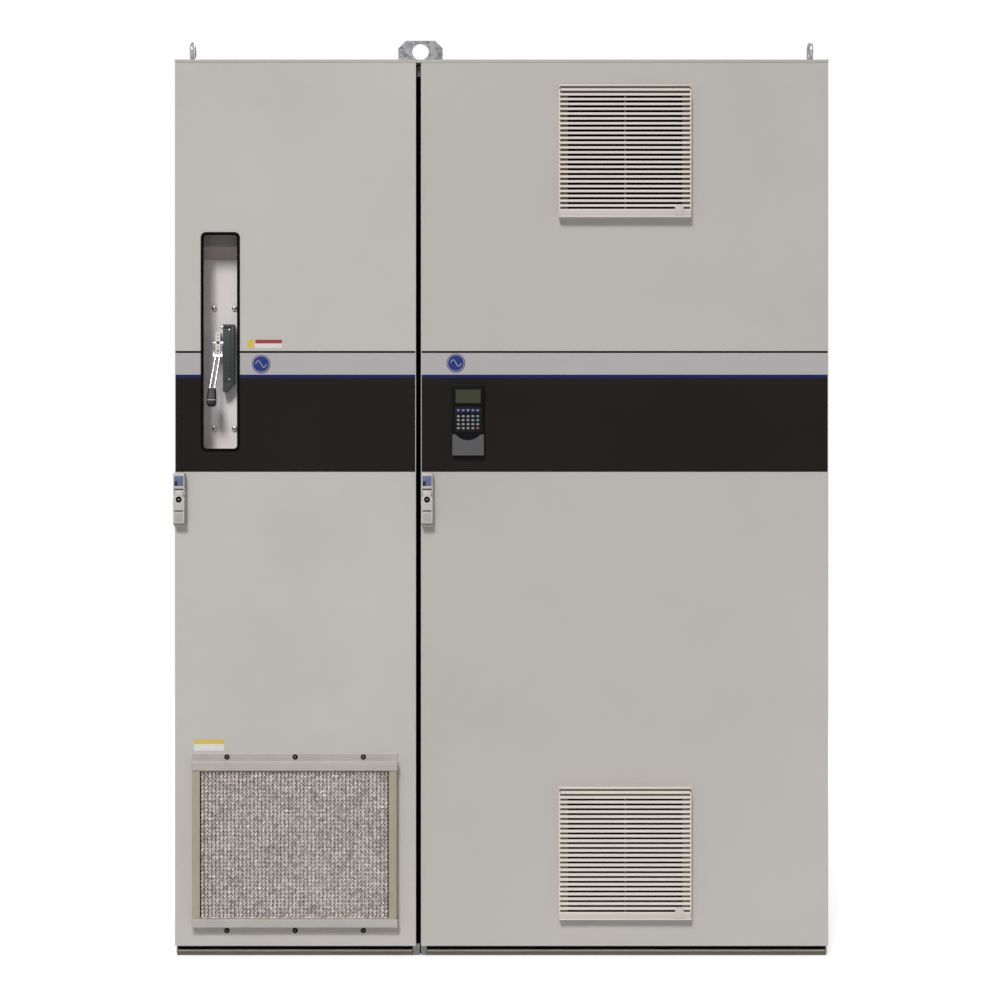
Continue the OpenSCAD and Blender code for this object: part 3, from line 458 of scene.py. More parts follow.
def crisp(node, width=0.8 * MM, segments=2, material=None):
    """A copy of a CAD node with merged faces and rounded edges, which stands for the node."""
    mesh = frame["nodes"][node].data.copy()
    work = merged(node)
    flat_edge, sharp_edge = math.radians(1), math.radians(35)
    for face in work.faces:
        bends = [e.calc_face_angle(math.pi) for e in face.edges]
        face.smooth = any(flat_edge < bend < sharp_edge for bend in bends)
    for edge in work.edges:
        edge.smooth = edge.calc_face_angle(math.pi) < sharp_edge
    work.to_mesh(mesh)
    work.free()
    mesh.materials.clear()
    piece = link(node + "_skin", mesh)
    bevel = piece.modifiers.new("edge", "BEVEL")
    bevel.width = width
    bevel.segments = segments
    bevel.limit_method = "ANGLE"
    bevel.angle_limit = sharp_edge
    DONE.add(node)
    return finish_piece(piece, material or SLOT_OF[node], BODY_OF[node], [node])


def add_box(work, low, high, bevel=0.0, segments=2, slot=0):
    """A box between two corners, with its edges rounded."""
    low, high = Vector(low), Vector(high)
    made = bmesh.ops.create_cube(work, size=1.0)
    verts = made["verts"]
    bmesh.ops.scale(work, vec=high - low, verts=verts)
    bmesh.ops.translate(work, vec=(low + high) / 2, verts=verts)
    faces = {f for v in verts for f in v.link_faces}
    for face in faces:
        face.material_index = slot
    if bevel:
        edges = list(dict.fromkeys(e for v in verts for e in v.link_edges))
        bmesh.ops.bevel(work, geom=edges, offset=bevel, segments=segments, profile=0.5, affect="EDGES",
                        material=-1)
    return verts


def mm_box(work, at, low, high, bevel=0.0, segments=2, slot=0, to=None):
    """A box in millimetres: low is measured from at, high from to, or from at where to isn't given."""
    corners = [[base + step * MM for base, step in zip(*pair)] for pair in ((at, low), (to or at, high))]
    return add_box(work, *corners, bevel * MM, segments, slot)


def mm_boxes(work, at, rows, to=None):
    """Boxes from (low, high, bevel, slot) rows, all measured like one mm_box."""
    for low, high, bevel, slot in rows:
        mm_box(work, at, low, high, bevel, slot=slot, to=to)


def joint_place(node):
    """Where the joint of a node's body stands."""
    return Vector(next(j["pos_m"] for j in frame["joints"] if j["child"] == BODY_OF[node]))


def mm(*pairs):
    """Pairs given in millimetres, as metres."""
    return [(a * MM, b * MM) for a, b in pairs]


def skin(work, rings, slot=0, capped=True):
    """Joins rings of vertices in turn, each closed round, and caps both ends. Returns the faces."""
    faces = []
    for low, high in zip(rings, rings[1:]):
        for i in range(len(low)):
            j = (i + 1) % len(low)
            faces.append(work.faces.new((low[i], low[j], high[j], high[i])))
    if capped:
        faces.append(work.faces.new(rings[0][::-1]))
        faces.append(work.faces.new(rings[-1]))
    for face in faces:
        face.material_index = slot
    return faces


def turned_rings(work, origin, axis, profile, sides):
    """Rings of vertices round an axis from origin, one for each (radius, height) pair of a profile."""
    turn = Vector((0, 0, 1)).rotation_difference(Vector(axis)).to_matrix()
    rings = []
    for radius, height in profile:
        points = (Vector((radius * math.cos(a), radius * math.sin(a), height))
                  for a in (2 * math.pi * i / sides for i in range(sides)))
        rings.append([work.verts.new(Vector(origin) + turn @ point) for point in points])
    return rings


def add_lathe(work, origin, axis, profile, sides=32, slot=0):
    """A turned form: profile is (radius, height) pairs, with the height along axis from origin."""
    return skin(work, turned_rings(work, origin, axis, profile, sides), slot)


def button_profile(radius, height, edge):
    """A disc with a rounded upper edge, as a lathe profile."""
    steps = [(radius, 0.0)]
    for i in range(5):
        a = math.pi / 2 * i / 4
        steps.append((radius - edge + edge * math.cos(a), height - edge + edge * math.sin(a)))
    return steps


def rounded_outline(w, h, r, steps=6):
    """Points of a rounded rectangle about the origin, anticlockwise."""
    points = []
    for k, (sx, sz) in enumerate(((1, 1), (-1, 1), (-1, -1), (1, -1))):
        for i in range(steps + 1):
            a = math.pi / 2 * (k + i / steps)
            points.append((sx * (w / 2 - r) + r * math.cos(a), sz * (h / 2 - r) + r * math.sin(a)))
    return points


def add_plate(work, outline, x, z, y0, y1, slot=0, edge=0.0):
    """An outline in the XZ plane at (x, z), extruded from y0 back to y1, its front edge rounded."""
    layers = [(y1, 0.0)]
    if edge:
        layers += [(y0 + edge, 0.0), (y0 + edge * 0.3, edge * 0.3), (y0, edge)]
    else:
        layers += [(y0, 0.0)]
    reach_x = max(abs(p[0]) for p in outline)
    reach_z = max(abs(p[1]) for p in outline)
    rings = []
    for y, inset in layers:
        fx, fz = 1 - inset / reach_x, 1 - inset / reach_z
        rings.append([work.verts.new((x + px * fx, y, z + pz * fz)) for px, pz in outline])
    return skin(work, rings, slot)


def piece_from(work, name, material, body, replaces=(), bevel=0.0, segments=2, angle=30):
    """Closes a bmesh into a named piece."""
    bmesh.ops.recalc_face_normals(work, faces=work.faces)
    mesh = bpy.data.meshes.new(name)
    work.to_mesh(mesh)
    work.free()
    piece = link(name, mesh)
    if bevel:
        soften(piece, bevel, segments, angle)
    else:
        smooth_by_angle(piece)
    return finish_piece(piece, material, body, replaces)


def stand_in(work, name, material, node):
    """Closes a bmesh into the piece that stands for a CAD node."""
    DONE.add(node)
    return piece_from(work, name, material, BODY_OF[node], [node])


make_camera()
make_stage()


# ---------------------------------------------------------------- printed bands and badges

FILM = 0.25 * MM
# printed colours, each with the heights in millimetres it runs between, from the floor
BANDS = (("film_black", 1481, 1486), ("film_light", 1428, 1481), ("film_blue", 1420, 1428),
         ("film_black", 1190, 1420))
BAND_INSET = 1.6 * MM
TRIM_COVER = 4 * MM
BADGE_R = 22.5 * MM


def band_film(name, door, hole=None):
    """The printed film across a door, cut out above the sill of hole, an (x0, x1, sill)."""
    low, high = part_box(door)
    names = ["film_black", "film_light", "film_blue"]
    work = bmesh.new()
    for material, z0, z1 in BANDS:
        z0, z1 = z0 * MM, z1 * MM
        spans = [(low.x + BAND_INSET, high.x - BAND_INSET, z0, z1)]
        if hole:
            x0, x1, sill = hole
            cut = max(z0, sill)
            spans = [(low.x + BAND_INSET, x0, cut, z1), (x1, high.x - BAND_INSET, cut, z1)]
            if cut > z0:
                spans.append((low.x + BAND_INSET, high.x - BAND_INSET, z0, cut))
        for x0, x1, za, zb in spans:
            mm_box(work, (x0, low.y - FILM, za), (0, 0, 0), (0, 0, 0), slot=names.index(material),
                   to=(x1, low.y, zb))
    piece_from(work, name, names, door)


def badge(name, door, x, z):
    """A round badge with a raised rim and a sine wave."""
    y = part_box(door)[0].y - FILM
    work = bmesh.new()
    add_lathe(work, (x, y, z), TO_FRONT, button_profile(BADGE_R, 1.6 * MM, 0.8 * MM), 64)
    inner, outer, foot, crest = BADGE_R * 0.86, BADGE_R * 0.92, 1.5 * MM, 2.0 * MM
    rim = [(inner, foot), (inner, crest), (outer, crest), (outer, foot)]
    rings = turned_rings(work, (x, y, z), TO_FRONT, rim, 64)
    skin(work, rings + rings[:1], 1, capped=False)
    half, count, thick = BADGE_R * 0.6, 40, 1.5 * MM
    wave = [(half * (2 * i / count - 1), BADGE_R * 0.36 * math.sin(2 * math.pi * i / count))
            for i in range(count + 1)]
    strip = []
    for i, (px, pz) in enumerate(wave):
        ax, az = wave[max(i - 1, 0)]
        bx, bz = wave[min(i + 1, count)]
        side = Vector((-(bz - az), bx - ax)).normalized() * thick / 2
        for y_step in (1.4 * MM, 2.0 * MM):
            for s in (-1, 1):
                strip.append(work.verts.new((x + px + s * side.x, y - y_step, z + pz + s * side.y)))
    for i in range(count):
        a, b = strip[4 * i:4 * i + 4], strip[4 * i + 4:4 * i + 8]
        for p, q in ((0, 1), (1, 3), (3, 2), (2, 0)):
            work.faces.new((a[p], a[q], b[q], b[p])).material_index = 1
    work.faces.new((strip[0], strip[1], strip[3], strip[2])).material_index = 1
    work.faces.new(strip[-4:-2] + [strip[-1], strip[-2]]).material_index = 1
    piece_from(work, name, ["badge_blue", "film_light"], door)


trim_low, trim_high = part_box("window_trim")
band_film("input_band", "input_door",
          (trim_low.x + TRIM_COVER, trim_high.x - TRIM_COVER, trim_low.z + TRIM_COVER))
band_film("power_band", "power_door")
badge("input_badge", "input_door", -0.589, 1.454)
badge("power_badge", "power_door", -0.112, 1.4565)


# ---------------------------------------------------------------- small labels


def label(name, x0, x1, z0, z1, parts):
    """A plain adhesive label; parts are (material, x0, x1, z0, z1) as shares of its width and height."""
    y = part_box("input_door")[0].y
    names = ["label_white"] + [p[0] for p in parts]
    work = bmesh.new()
    mm_box(work, (x0, y, z0), (0, -0.2, 0), (0, 0, 0), to=(x1, y, z1))
    for i, (_, u0, u1, v0, v1) in enumerate(parts):
        left, right = (x0 + (x1 - x0) * u for u in (u0, u1))
        foot, head = (z0 + (z1 - z0) * v for v in (v0, v1))
        mm_box(work, (left, y, foot), (0, -0.3, 0), (0, -0.15, 0), slot=i + 1, to=(right, y, head))
    piece_from(work, name, names, "input_door")


label("window_label", -0.624, -0.538, 1.4935, 1.5135,
      [("label_yellow", 0.0, 0.22, 0.0, 1.0), ("label_red", 0.24, 1.0, 0.55, 1.0)])
label("filter_label", -0.7535, -0.680, 0.507, 0.534, [("label_yellow", 0.0, 1.0, 0.62, 1.0)])


# ---------------------------------------------------------------- louvred grilles

GRILLE_SLOTS = 24
GRILLE_PITCH = 11.8 * MM
GRILLE_SLOT_TOP = 26.8 * MM
GRILLE_SLOT_H = 6.1 * MM
SLAT_H = GRILLE_PITCH - GRILLE_SLOT_H


def grille_cover(node):
    """Cover with a shell rim, slanted slats, grooves at their ends, a mullion, a bottom rail and a tab."""
    low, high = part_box(node)
    front, back = low.y, high.y
    wall, end_w = 3 * MM, 19 * MM
    ear_cut = 3.9 * MM
    work = bmesh.new()
    mm_box(work, low, (0, 1.2, 0), (0, 0, -11), 0.8, to=(low.x + wall, back, high.z))
    mm_box(work, (high.x - wall, front, low.z), (0, 1.2, 0), (0, 0, -11), 0.8, to=(high.x, back, high.z))
    mm_box(work, (low.x + ear_cut, front, high.z), (0, 1.2, -3.4), (0, 0, 0), 0.8,
           to=(high.x - ear_cut, back, high.z))
    mm_box(work, low, (0, 0, 0), (0, 0, 3), 0.8, to=(high.x, back, low.z))
    mm_box(work, low, (0, 0, 15.5), (0, 4, 19.5), 0.8, to=(high.x, front, low.z))
    mm_box(work, low, (0.4, 0.5, 1), (-0.4, 4, 17), 0.8, slot=3, to=(high.x, front, low.z))
    # closed backs of the end grooves and the head
    groove_y = front + 5.5 * MM
    for x0, x1 in ((low.x + wall, low.x + wall + end_w), (high.x - wall - end_w, high.x - wall)):
        mm_box(work, (x0, groove_y, low.z), (0, 0, 10), (0, 2, -26.5), slot=1, to=(x1, groove_y, high.z))
    mm_box(work, (low.x, groove_y, high.z), (1, 0, -26), (-1, 2, -4), slot=1, to=(high.x, groove_y, high.z))
    # near-black sheet behind the slats: painted shade seen through the slots
    mm_box(work, (low.x + wall + end_w, front, low.z), (0, 10, 8), (0, 11.5, -26), slot=2,
           to=(high.x - wall - end_w, front, high.z))
    mid = (low.x + high.x) / 2
    mm_box(work, (mid, front, low.z), (-1.5, 3.2, 17.5), (1.5, 8, -27), 0.5, slot=1, to=(mid, front, high.z))
    # slats: a blunt front edge, a roof that slopes up and back
    tops = [high.z - GRILLE_SLOT_TOP - i * GRILLE_PITCH - GRILLE_SLOT_H for i in range(GRILLE_SLOTS - 1)]
    tops += [high.z - GRILLE_SLOT_TOP + k * GRILLE_PITCH + SLAT_H - 0.2 * MM for k in (0, 1)]
    for top in tops:
        near_head = top > high.z - 12 * MM
        x0 = low.x + (ear_cut if near_head else 0.2 * MM)
        x1 = high.x - (ear_cut if near_head else 0.2 * MM)
        section = [(front, top - SLAT_H + 0.6 * MM), (front, top - 0.8 * MM), (front + 0.7 * MM, top),
                   (front + 5 * MM, top + 0.8 * MM), (front + 5 * MM, top - 0.8 * MM),
                   (front + 1.8 * MM, top - 1.6 * MM),
                   (front + 1.8 * MM, top - SLAT_H), (front + 0.6 * MM, top - SLAT_H)]
        skin(work, [[work.verts.new((x, y, z)) for y, z in section] for x in (x0, x1)])
    # latch tab over the rail
    tab_x = high.x - 37 * MM
    mm_box(work, (tab_x, front, low.z), (-3, -0.9, 4), (18, 6, 30), 1.2, slot=3)
    # hinge stubs
    axis = joint_place(node)
    for x, way in ((low.x + ear_cut + 0.4 * MM, -1), (high.x - ear_cut - 0.4 * MM, 1)):
        add_lathe(work, (x, axis.y, axis.z), (way, 0, 0), mm((1.45, 0), (1.45, 3.6), (1.1, 4.0)), 20)
    stand_in(work, node + "_louvres", ["grille_plastic", "groove_shade", "slot_shade", "grille_tab"], node)


grille_cover("upper_grille")
grille_cover("lower_grille")


# ---------------------------------------------------------------- keypad

# heights of the key rows in millimetres, from the foot of the case
KEY_ROWS = (112.0, 97.5, 88.0, 78.0, 68.5)
KEY_STEP = 11.8 * MM
KEY_SIZE = (7.8 * MM, 5.4 * MM)
BASE_TOP = 53 * MM
DISH_R = 39 * MM
DISH_DEPTH = 14 * MM


def key_profile(work, x, z, y, rise, slot):
    """An oval domed key."""
    rx, rz = KEY_SIZE[0] / 2, KEY_SIZE[1] / 2
    rings = []
    for share, lift in ((1.0, 0.0), (1.0, 0.55), (0.93, 0.82), (0.75, 0.96), (0.4, 1.0)):
        rings.append([work.verts.new((x + rx * share * math.cos(a), y - rise * lift,
                                      z + rz * share * math.sin(a)))
                      for a in (2 * math.pi * i / 24 for i in range(24))])
    skin(work, rings, slot)


def cut_pockets(piece, boxes):
    """Cut boxes out of a piece, with the result kept as its plain mesh."""
    work = bmesh.new()
    for low, high in boxes:
        add_box(work, low, high)
    mesh = bpy.data.meshes.new("pockets")
    work.to_mesh(mesh)
    work.free()
    cutter = link("pockets", mesh)
    cut = piece.modifiers.new("cut", "BOOLEAN")
    cut.operation = "DIFFERENCE"
    cut.solver = "EXACT"
    cut.use_self = True
    cut.object = cutter
    bpy.context.view_layer.update()
    done = bpy.data.meshes.new_from_object(piece.evaluated_get(bpy.context.evaluated_depsgraph_get()))
    piece.modifiers.clear()
    piece.data = done
    clean = bmesh.new()
    clean.from_mesh(done)
    bmesh.ops.remove_doubles(clean, verts=clean.verts, dist=1e-6)
    bmesh.ops.dissolve_degenerate(clean, edges=clean.edges, dist=2e-6)
    flat = [face for face in clean.faces if face.calc_area() < 1e-11]
    bmesh.ops.delete(clean, geom=flat, context="FACES")
    clean.to_mesh(done)
    clean.free()
    for layer in [a for a in done.attributes if "normal" in a.name]:
        done.attributes.remove(layer)
    smooth_by_angle(piece)
    bpy.data.objects.remove(cutter)
    bpy.data.meshes.remove(mesh)


def keypad():
    """Keypad case with its window, keys, dish and round pads, over the pale base."""
    low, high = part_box("keypad_case")
    x = (low.x + high.x) / 2
    front = low.y + 3 * MM
    loose = {(4, 1), (4, 4)}
    names = ["keypad_plastic", "key_grey", "key_blue", "display_glass", "base_grey", "key_teal",
             "keypad_deck", "key_lavender"]
    work = bmesh.new()
    mid_z = (low.z + high.z) / 2
    w, h = high.x - low.x, high.z - low.z
    add_plate(work, rounded_outline(w, h, 5 * MM), x, mid_z, front, high.y, 0, 1.6 * MM)
    # display: recessed glass inside a raised frame
    dz = low.z + 146.5 * MM
    mm_boxes(work, (x, front, dz), [
        ((-34, -1.4, -20), (-30.5, 1, 20), 0.7, 0), ((30.5, -1.4, -20), (34, 1, 20), 0.7, 0),
        ((-34, -1.4, -20), (34, 1, -16.5), 0.7, 0), ((-34, -1.4, 16.5), (34, 1, 20), 0.7, 0),
        ((-30.8, -0.6, -16.8), (30.8, 0.5, 16.8), 0, 3)])
    # key deck with a blue strip behind the top row
    add_plate(work, rounded_outline(66 * MM, 62 * MM, 4 * MM), x, low.z + 89 * MM, front - 0.7 * MM,
              front + 1 * MM, 6, 0.3 * MM)
    mm_box(work, (x, front, low.z), (-31, -0.95, 107), (31, 0, 117), 0.15, slot=2)
    for j, up in enumerate(KEY_ROWS):
        for i in range(5):
            if (i, j) in loose:
                continue
            tint = 7 if j == 0 else 5 if (i, j) == (4, 2) else 1
            key_profile(work, x + (i - 2) * KEY_STEP, low.z + up * MM, front - 0.5 * MM, 1.9 * MM, tint)
    # pale base with a dished top, and the black ring that runs in the dish
    outline = []
    half_w = 38.4 * MM
    dish_half = math.sqrt(DISH_R ** 2 - (DISH_R - DISH_DEPTH) ** 2)
    cz = BASE_TOP + DISH_R - DISH_DEPTH
    start = math.asin(dish_half / DISH_R)
    for i in range(25):
        a = start - 2 * start * i / 24
        outline.append((DISH_R * math.sin(a), cz - DISH_R * math.cos(a)))
    outline += [(-half_w, BASE_TOP), (-half_w, 2 * MM), (half_w, 2 * MM), (half_w, BASE_TOP)]
    rings = []
    for y in (front - 2.8 * MM, front + 1 * MM):
        rings.append([work.verts.new((x + px, y, low.z + pz)) for px, pz in outline])
    skin(work, rings, 4)
    rings = []
    inward = Vector((0, 1, 0))
    for i in range(33):
        a = (start + 0.12) * (1 - 2 * i / 32)
        centre = Vector((x + (DISH_R - 2.2 * MM) * math.sin(a), front - 1.2 * MM,
                         low.z + cz - (DISH_R - 2.2 * MM) * math.cos(a)))
        out = Vector((math.sin(a), 0, -math.cos(a)))
        rings.append([work.verts.new(centre + 1.9 * MM * (math.cos(b) * out + math.sin(b) * inward))
                      for b in (2 * math.pi * k / 10 for k in range(10))])
    skin(work, rings)
    # ribs on the base
    for k in range(3):
        z = low.z + (6 + 3 * k) * MM
        mm_box(work, (x, front, z), (-31, -3.0, 0), (28, -2, 1.1), 0.2, slot=4)
    body = stand_in(work, "keypad_body", names, "keypad_case")
    room = Vector((0.35, 0, 0.35)) * MM
    cut_pockets(body, [(k_low - room - Vector((0, 3 * MM, 0)), k_high + room + Vector((0, 1.6 * MM, 0)))
                       for k_low, k_high in (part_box("start_key"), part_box("stop_key"))])
    for node, slot in (("start_key", "key_green"), ("stop_key", "key_red")):
        k_low, k_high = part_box(node)
        work = bmesh.new()
        mm_box(work, k_low, (0.8, 2, 0.6), (-0.8, 0, -0.6), 0.4, to=k_high)
        key_profile(work, (k_low.x + k_high.x) / 2, (k_low.z + k_high.z) / 2, k_low.y + 2.4 * MM, 2.4 * MM, 0)
        stand_in(work, node + "_cap", slot, node)


keypad()


# ---------------------------------------------------------------- latches


def latch(side):
    """Case, lever and lock of one door's latch."""
    case, lever, lock = side + "_latch_case", side + "_latch_lever", side + "_lock"
    low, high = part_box(case)
    x0, x1, face = low.x, high.x, high.y
    mid = (x0 + x1) / 2
    l_low, l_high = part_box(lever)
    work = bmesh.new()
    mm_box(work, (x0, face, low.z), (0, -9, 0), (0, 0, 0), 2.0, 3, to=(x1, face, high.z))
    mm_box(work, (x0, face, high.z), (0, -22, -39), (0, -1, 0), 3.0, 4, to=(x1, face, high.z))
    pivot = joint_place(lever)
    for ex in (x0, x1 - 3 * MM):
        mm_box(work, (ex, pivot.y, pivot.z), (0, -6, -8), (3, -8, -30), 0.8, to=(ex, face, high.z))
    # label on the head: pale blue with a dark patch at its lower left, in a shallow frame
    lx0, lx1, lz0, lz1 = x0 + 3 * MM, x1 - 3 * MM, high.z - 32 * MM, high.z - 7 * MM
    mm_box(work, (lx0, face, lz0), (0, -22.25, 0), (0, -21, 0), 0.2, slot=1, to=(lx1, face, lz1))
    mm_box(work, (lx0, face, lz0), (0.4, -22.4, 0.4), (8, -21, 12), 0.2, slot=2)
    stand_in(work, case + "_shell", ["latch_plastic", "latch_label", "latch_label_dark"], case)
    # lever: upper plate with the lock, seam, grip panel, overhanging lip
    front, rear = l_low.y, l_high.y
    top = pivot.z - 12.5 * MM
    seam = l_low.z + 34 * MM
    work = bmesh.new()
    mm_box(work, (x0, front, seam), (0.2, 0, 1.4), (-0.2, 0, 0), 1.0, 3, to=(x1, rear, top))
    mm_box(work, (mid, front, top), (-10.4, 0.2, -4), (10.4, 0, 0), 0.8, 2, to=(mid, rear, pivot.z))
    mm_box(work, (x0, front, top), (1, 2, -2), (-1, 0, 3), 0.8, 2, to=(x1, rear, top))
    add_lathe(work, (mid - 10.5 * MM, pivot.y, pivot.z), (1, 0, 0),
              mm((5.3, 0), (5.4, 0.3), (5.4, 20.7), (5.3, 21)), 32)
    add_lathe(work, (x0 + 0.3 * MM, pivot.y, pivot.z), (1, 0, 0), mm((2.4, 0), (2.4, 27.4)), 20)
    mm_box(work, (x0, front, seam), (1, 1.2, -3), (-1, 0, 3), 0.3, slot=1, to=(x1, rear, seam))
    for ex in (x0 + 0.2 * MM, x1 - 3.4 * MM):
        mm_box(work, (ex, front, seam), (0, 0, -3), (3.2, 7, 3), 0.3)
    mm_box(work, (x0, front, l_low.z), (0.2, 0, 4), (-0.2, 7, -1.4), 1.0, 3, to=(x1, front, seam))
    mm_box(work, (x0, front, l_low.z), (4, -0.1, 8), (-4, 0.5, -3), 0.3, slot=2, to=(x1, front, seam))
    for ex in (x0 + 0.2 * MM, x1 - 3.2 * MM):
        mm_box(work, (ex, front, l_low.z), (0, 1, 4), (3, 0, 3), 0.6, to=(ex, rear, seam))
    # lip tinted with painted shade for the lever's shaded lower face
    mm_box(work, (x0, front, l_low.z), (0.6, 0.8, 0), (-0.6, 6, 5), 1.2, 3, slot=3, to=(x1, front, l_low.z))
    stand_in(work, lever + "_shell", ["latch_plastic", "black_plastic", "latch_panel", "latch_lip_shade"], lever)
    # lock insert: collar, barrel and a double-bit key slot
    k_low, k_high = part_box(lock)
    cx, cz = (k_low.x + k_high.x) / 2, (k_low.z + k_high.z) / 2
    depth = k_high.y - k_low.y
    work = bmesh.new()
    collar = [(7.4 * MM, 0), (7.4 * MM, depth - 0.4 * MM), (7.0 * MM, depth), (5.2 * MM, depth),
              (4.9 * MM, depth - 0.3 * MM), (0.1 * MM, depth - 0.3 * MM)]
    add_lathe(work, (cx, k_high.y, cz), TO_FRONT, collar, 40)
    add_lathe(work, (cx, k_low.y + 1.3 * MM, cz), TO_FRONT, button_profile(1.9 * MM, 1.2 * MM, 0.4 * MM), 24,
              slot=1)
    for s in (-1, 1):
        mm_box(work, (cx, k_low.y, cz), (s * 2.9 - 0.5, 0.1, -0.5), (s * 2.9 + 0.5, 2, 0.5), 0.2, slot=1)
    stand_in(work, lock + "_insert", ["black_rubber", "indicator_grey"], lock)


latch("input")
latch("power")


# ---------------------------------------------------------------- fasteners and lifting gear


def domed_screw(work, x, y, z, radius, height, slot=0, recess=0):
    """A pan head that faces -Y, over a thin washer, with a cross recess of its own slot."""
    add_lathe(work, (x, y, z), TO_FRONT, [(radius * 1.12, 0), (radius * 1.12, 0.5 * MM), (radius, 0.6 * MM)],
              32, slot)
    dome = [(radius * math.cos(a), 0.5 * MM + (height - 0.5 * MM) * math.sin(a))
            for a in (math.pi / 2 * i / 7 for i in range(7))]
    add_lathe(work, (x, y, z), TO_FRONT, dome + [(0.4 * MM, height)], 32, slot)
    arm, half = radius * 0.42, radius * 0.09
    top = y - height
    mm_box(work, (x - arm, top, z - half), (0, -0.08, 0), (0, 1.2, 0), slot=recess,
           to=(x + arm, top, z + half))
    mm_box(work, (x - half, top, z - arm), (0, -0.08, 0), (0, 1.2, 0), slot=recess,
           to=(x + half, top, z + arm))


def hex_bolt(work, x, y, z, across, height):
    """A chamfered hexagon head over a washer, facing up."""
    add_lathe(work, (x, y, z), (0, 0, 1), [(across * 0.62, 0), (across * 0.62, 0.9 * MM),
                                           (across * 0.58, 1.1 * MM)], 32)
    r = across / math.sqrt(3)
    add_lathe(work, (x, y, z), (0, 0, 1), [(r, 0.9 * MM), (r, height - 0.7 * MM), (r * 0.9, height)], 6)


def fasteners():
    """Heads of the frame's bolts, hexagonal on the roof and domed elsewhere."""
    work = bmesh.new()
    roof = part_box("roof_plates")[1].z
    for low, high in solids("frame_fasteners"):
        x, y, z = (low + high) / 2
        if low.z > roof:
            hex_bolt(work, x, y, low.z, high.x - low.x, high.z - low.z)
        else:
            domed_screw(work, x, high.y - 3 * MM, z, (high.x - low.x) / 2, 3 * MM, recess=1)
    stand_in(work, "fastener_heads", ["bright_steel", "indicator_dark"], "frame_fasteners")


fasteners()


# ---------------------------------------------------------------- screws, window recess and mechanism


def screw_rows():
    """Black pan heads along the filter's rails."""
    work = bmesh.new()
    for low, high in solids("filter_screws"):
        x, _, z = (low + high) / 2
        domed_screw(work, x, high.y, z, (high.x - low.x) / 2, high.y - low.y, recess=1)
    stand_in(work, "rail_screws", ["black_plastic", "key_grey"], "filter_screws")


screw_rows()


def recess_shade_hood():
    """Folded hood at the head of the operator's recess, coloured in two tones of painted shade: the shaded
    underside of the recess top and the shadow cast on the plate below.
    """
    low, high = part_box("disconnect_plate")
    trim_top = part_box("window_trim")[1].z - 7 * MM
    front, back = low.y + 1 * MM, high.y - 3 * MM
    x0, x1 = low.x + 3 * MM, high.x - 3 * MM
    head, foot = trim_top + 8 * MM, trim_top - 52 * MM
    section = [(front, head), (front + 6 * MM, trim_top - 24 * MM), (back - 4 * MM, foot), (back, foot),
               (back, head)]
    work = bmesh.new()
    faces = skin(work, [[work.verts.new((x, y, z)) for y, z in section] for x in (x0, x1)])
    faces[1].material_index = 1
    piece_from(work, "recess_shade_hood", ["hood_shade_dark", "hood_shade_mid"], "cabinet",
               bevel=0.8 * MM)


recess_shade_hood()


def mechanism():
    """Mechanism case with its cover plate, side ribs and knob, and the indicator plate on its posts."""
    parts = sorted(solids("disconnect_case"), key=lambda box: box[1].z - box[0].z)
    (p_low, p_high), (c_low, c_high) = parts
    work = merged("disconnect_case")
    for face in work.faces:
        if face.calc_center_median().x < p_high.x + 0.1 * MM:
            face.material_index = 1
    # raised cover, a dark side flank and vent ribs on the case
    mm_box(work, (c_low.x, c_low.y, c_low.z), (2, -1.2, 26), (-8, 1, -10), 0.5,
           to=(c_high.x, c_low.y, c_high.z))
    mm_box(work, (c_high.x, c_low.y, c_low.z), (-6.5, -0.8, 22), (-0.4, 1, -1), 0.4, slot=4,
           to=(c_high.x, c_low.y, c_high.z))
    mm_box(work, (c_low.x, c_low.y, c_high.z), (1, -2.2, -8), (-7, 1, -1.5), 0.5, slot=4,
           to=(c_high.x, c_low.y, c_high.z))
    for k in range(5):
        z = c_low.z + (34 + 9 * k) * MM
        mm_box(work, (c_low.x, c_low.y, z), (4, -2.0, 0), (-10, 0, 3), 0.4, slot=4, to=(c_high.x, c_low.y, z))
    for z in (c_low.z + 30 * MM, c_high.z - 14 * MM):
        domed_screw(work, c_high.x - 11 * MM, c_low.y - 1.2 * MM, z, 2.2 * MM, 1.4 * MM, 3, 4)
    # knob on the flank
    add_lathe(work, (c_low.x, c_low.y + 9 * MM, c_high.z - 6 * MM), (-1, 0, 0),
              button_profile(3.6 * MM, 7 * MM, 1.5 * MM), 28, 3)
    # marks on the indicator plate: two discs and a square
    x, y, z = (p_low.x + p_high.x) / 2, p_low.y, (p_low.z + p_high.z) / 2
    add_lathe(work, (x, y, z + 20 * MM), TO_FRONT, mm((1.9, -0.2), (1.9, 0.35), (1.6, 0.5)), 24, 2)
    add_lathe(work, (x, y, z + 12 * MM), TO_FRONT, mm((3.3, -0.2), (3.3, 0.3), (3.0, 0.45)), 28, 2)
    add_lathe(work, (x, y, z + 12 * MM), TO_FRONT, mm((2.2, 0), (2.2, 0.6), (2.0, 0.7)), 28, 1)
    mm_box(work, (x, y, z), (-3.4, -0.6, -2), (3.4, 0.4, 4.5), 0.25, slot=4)
    add_lathe(work, (x, y, z - 10 * MM), TO_FRONT, mm((2.0, -0.2), (2.0, 0.3), (1.7, 0.45)), 24, 2)
    mm_box(work, (x, y, z), (-3.2, -0.5, -22), (3.2, 0.4, -15), 0.25, slot=2)
    names = ["mechanism_case", "indicator_white", "indicator_grey", "bright_steel", "indicator_dark"]
    stand_in(work, "mechanism", names, "disconnect_case")


mechanism()


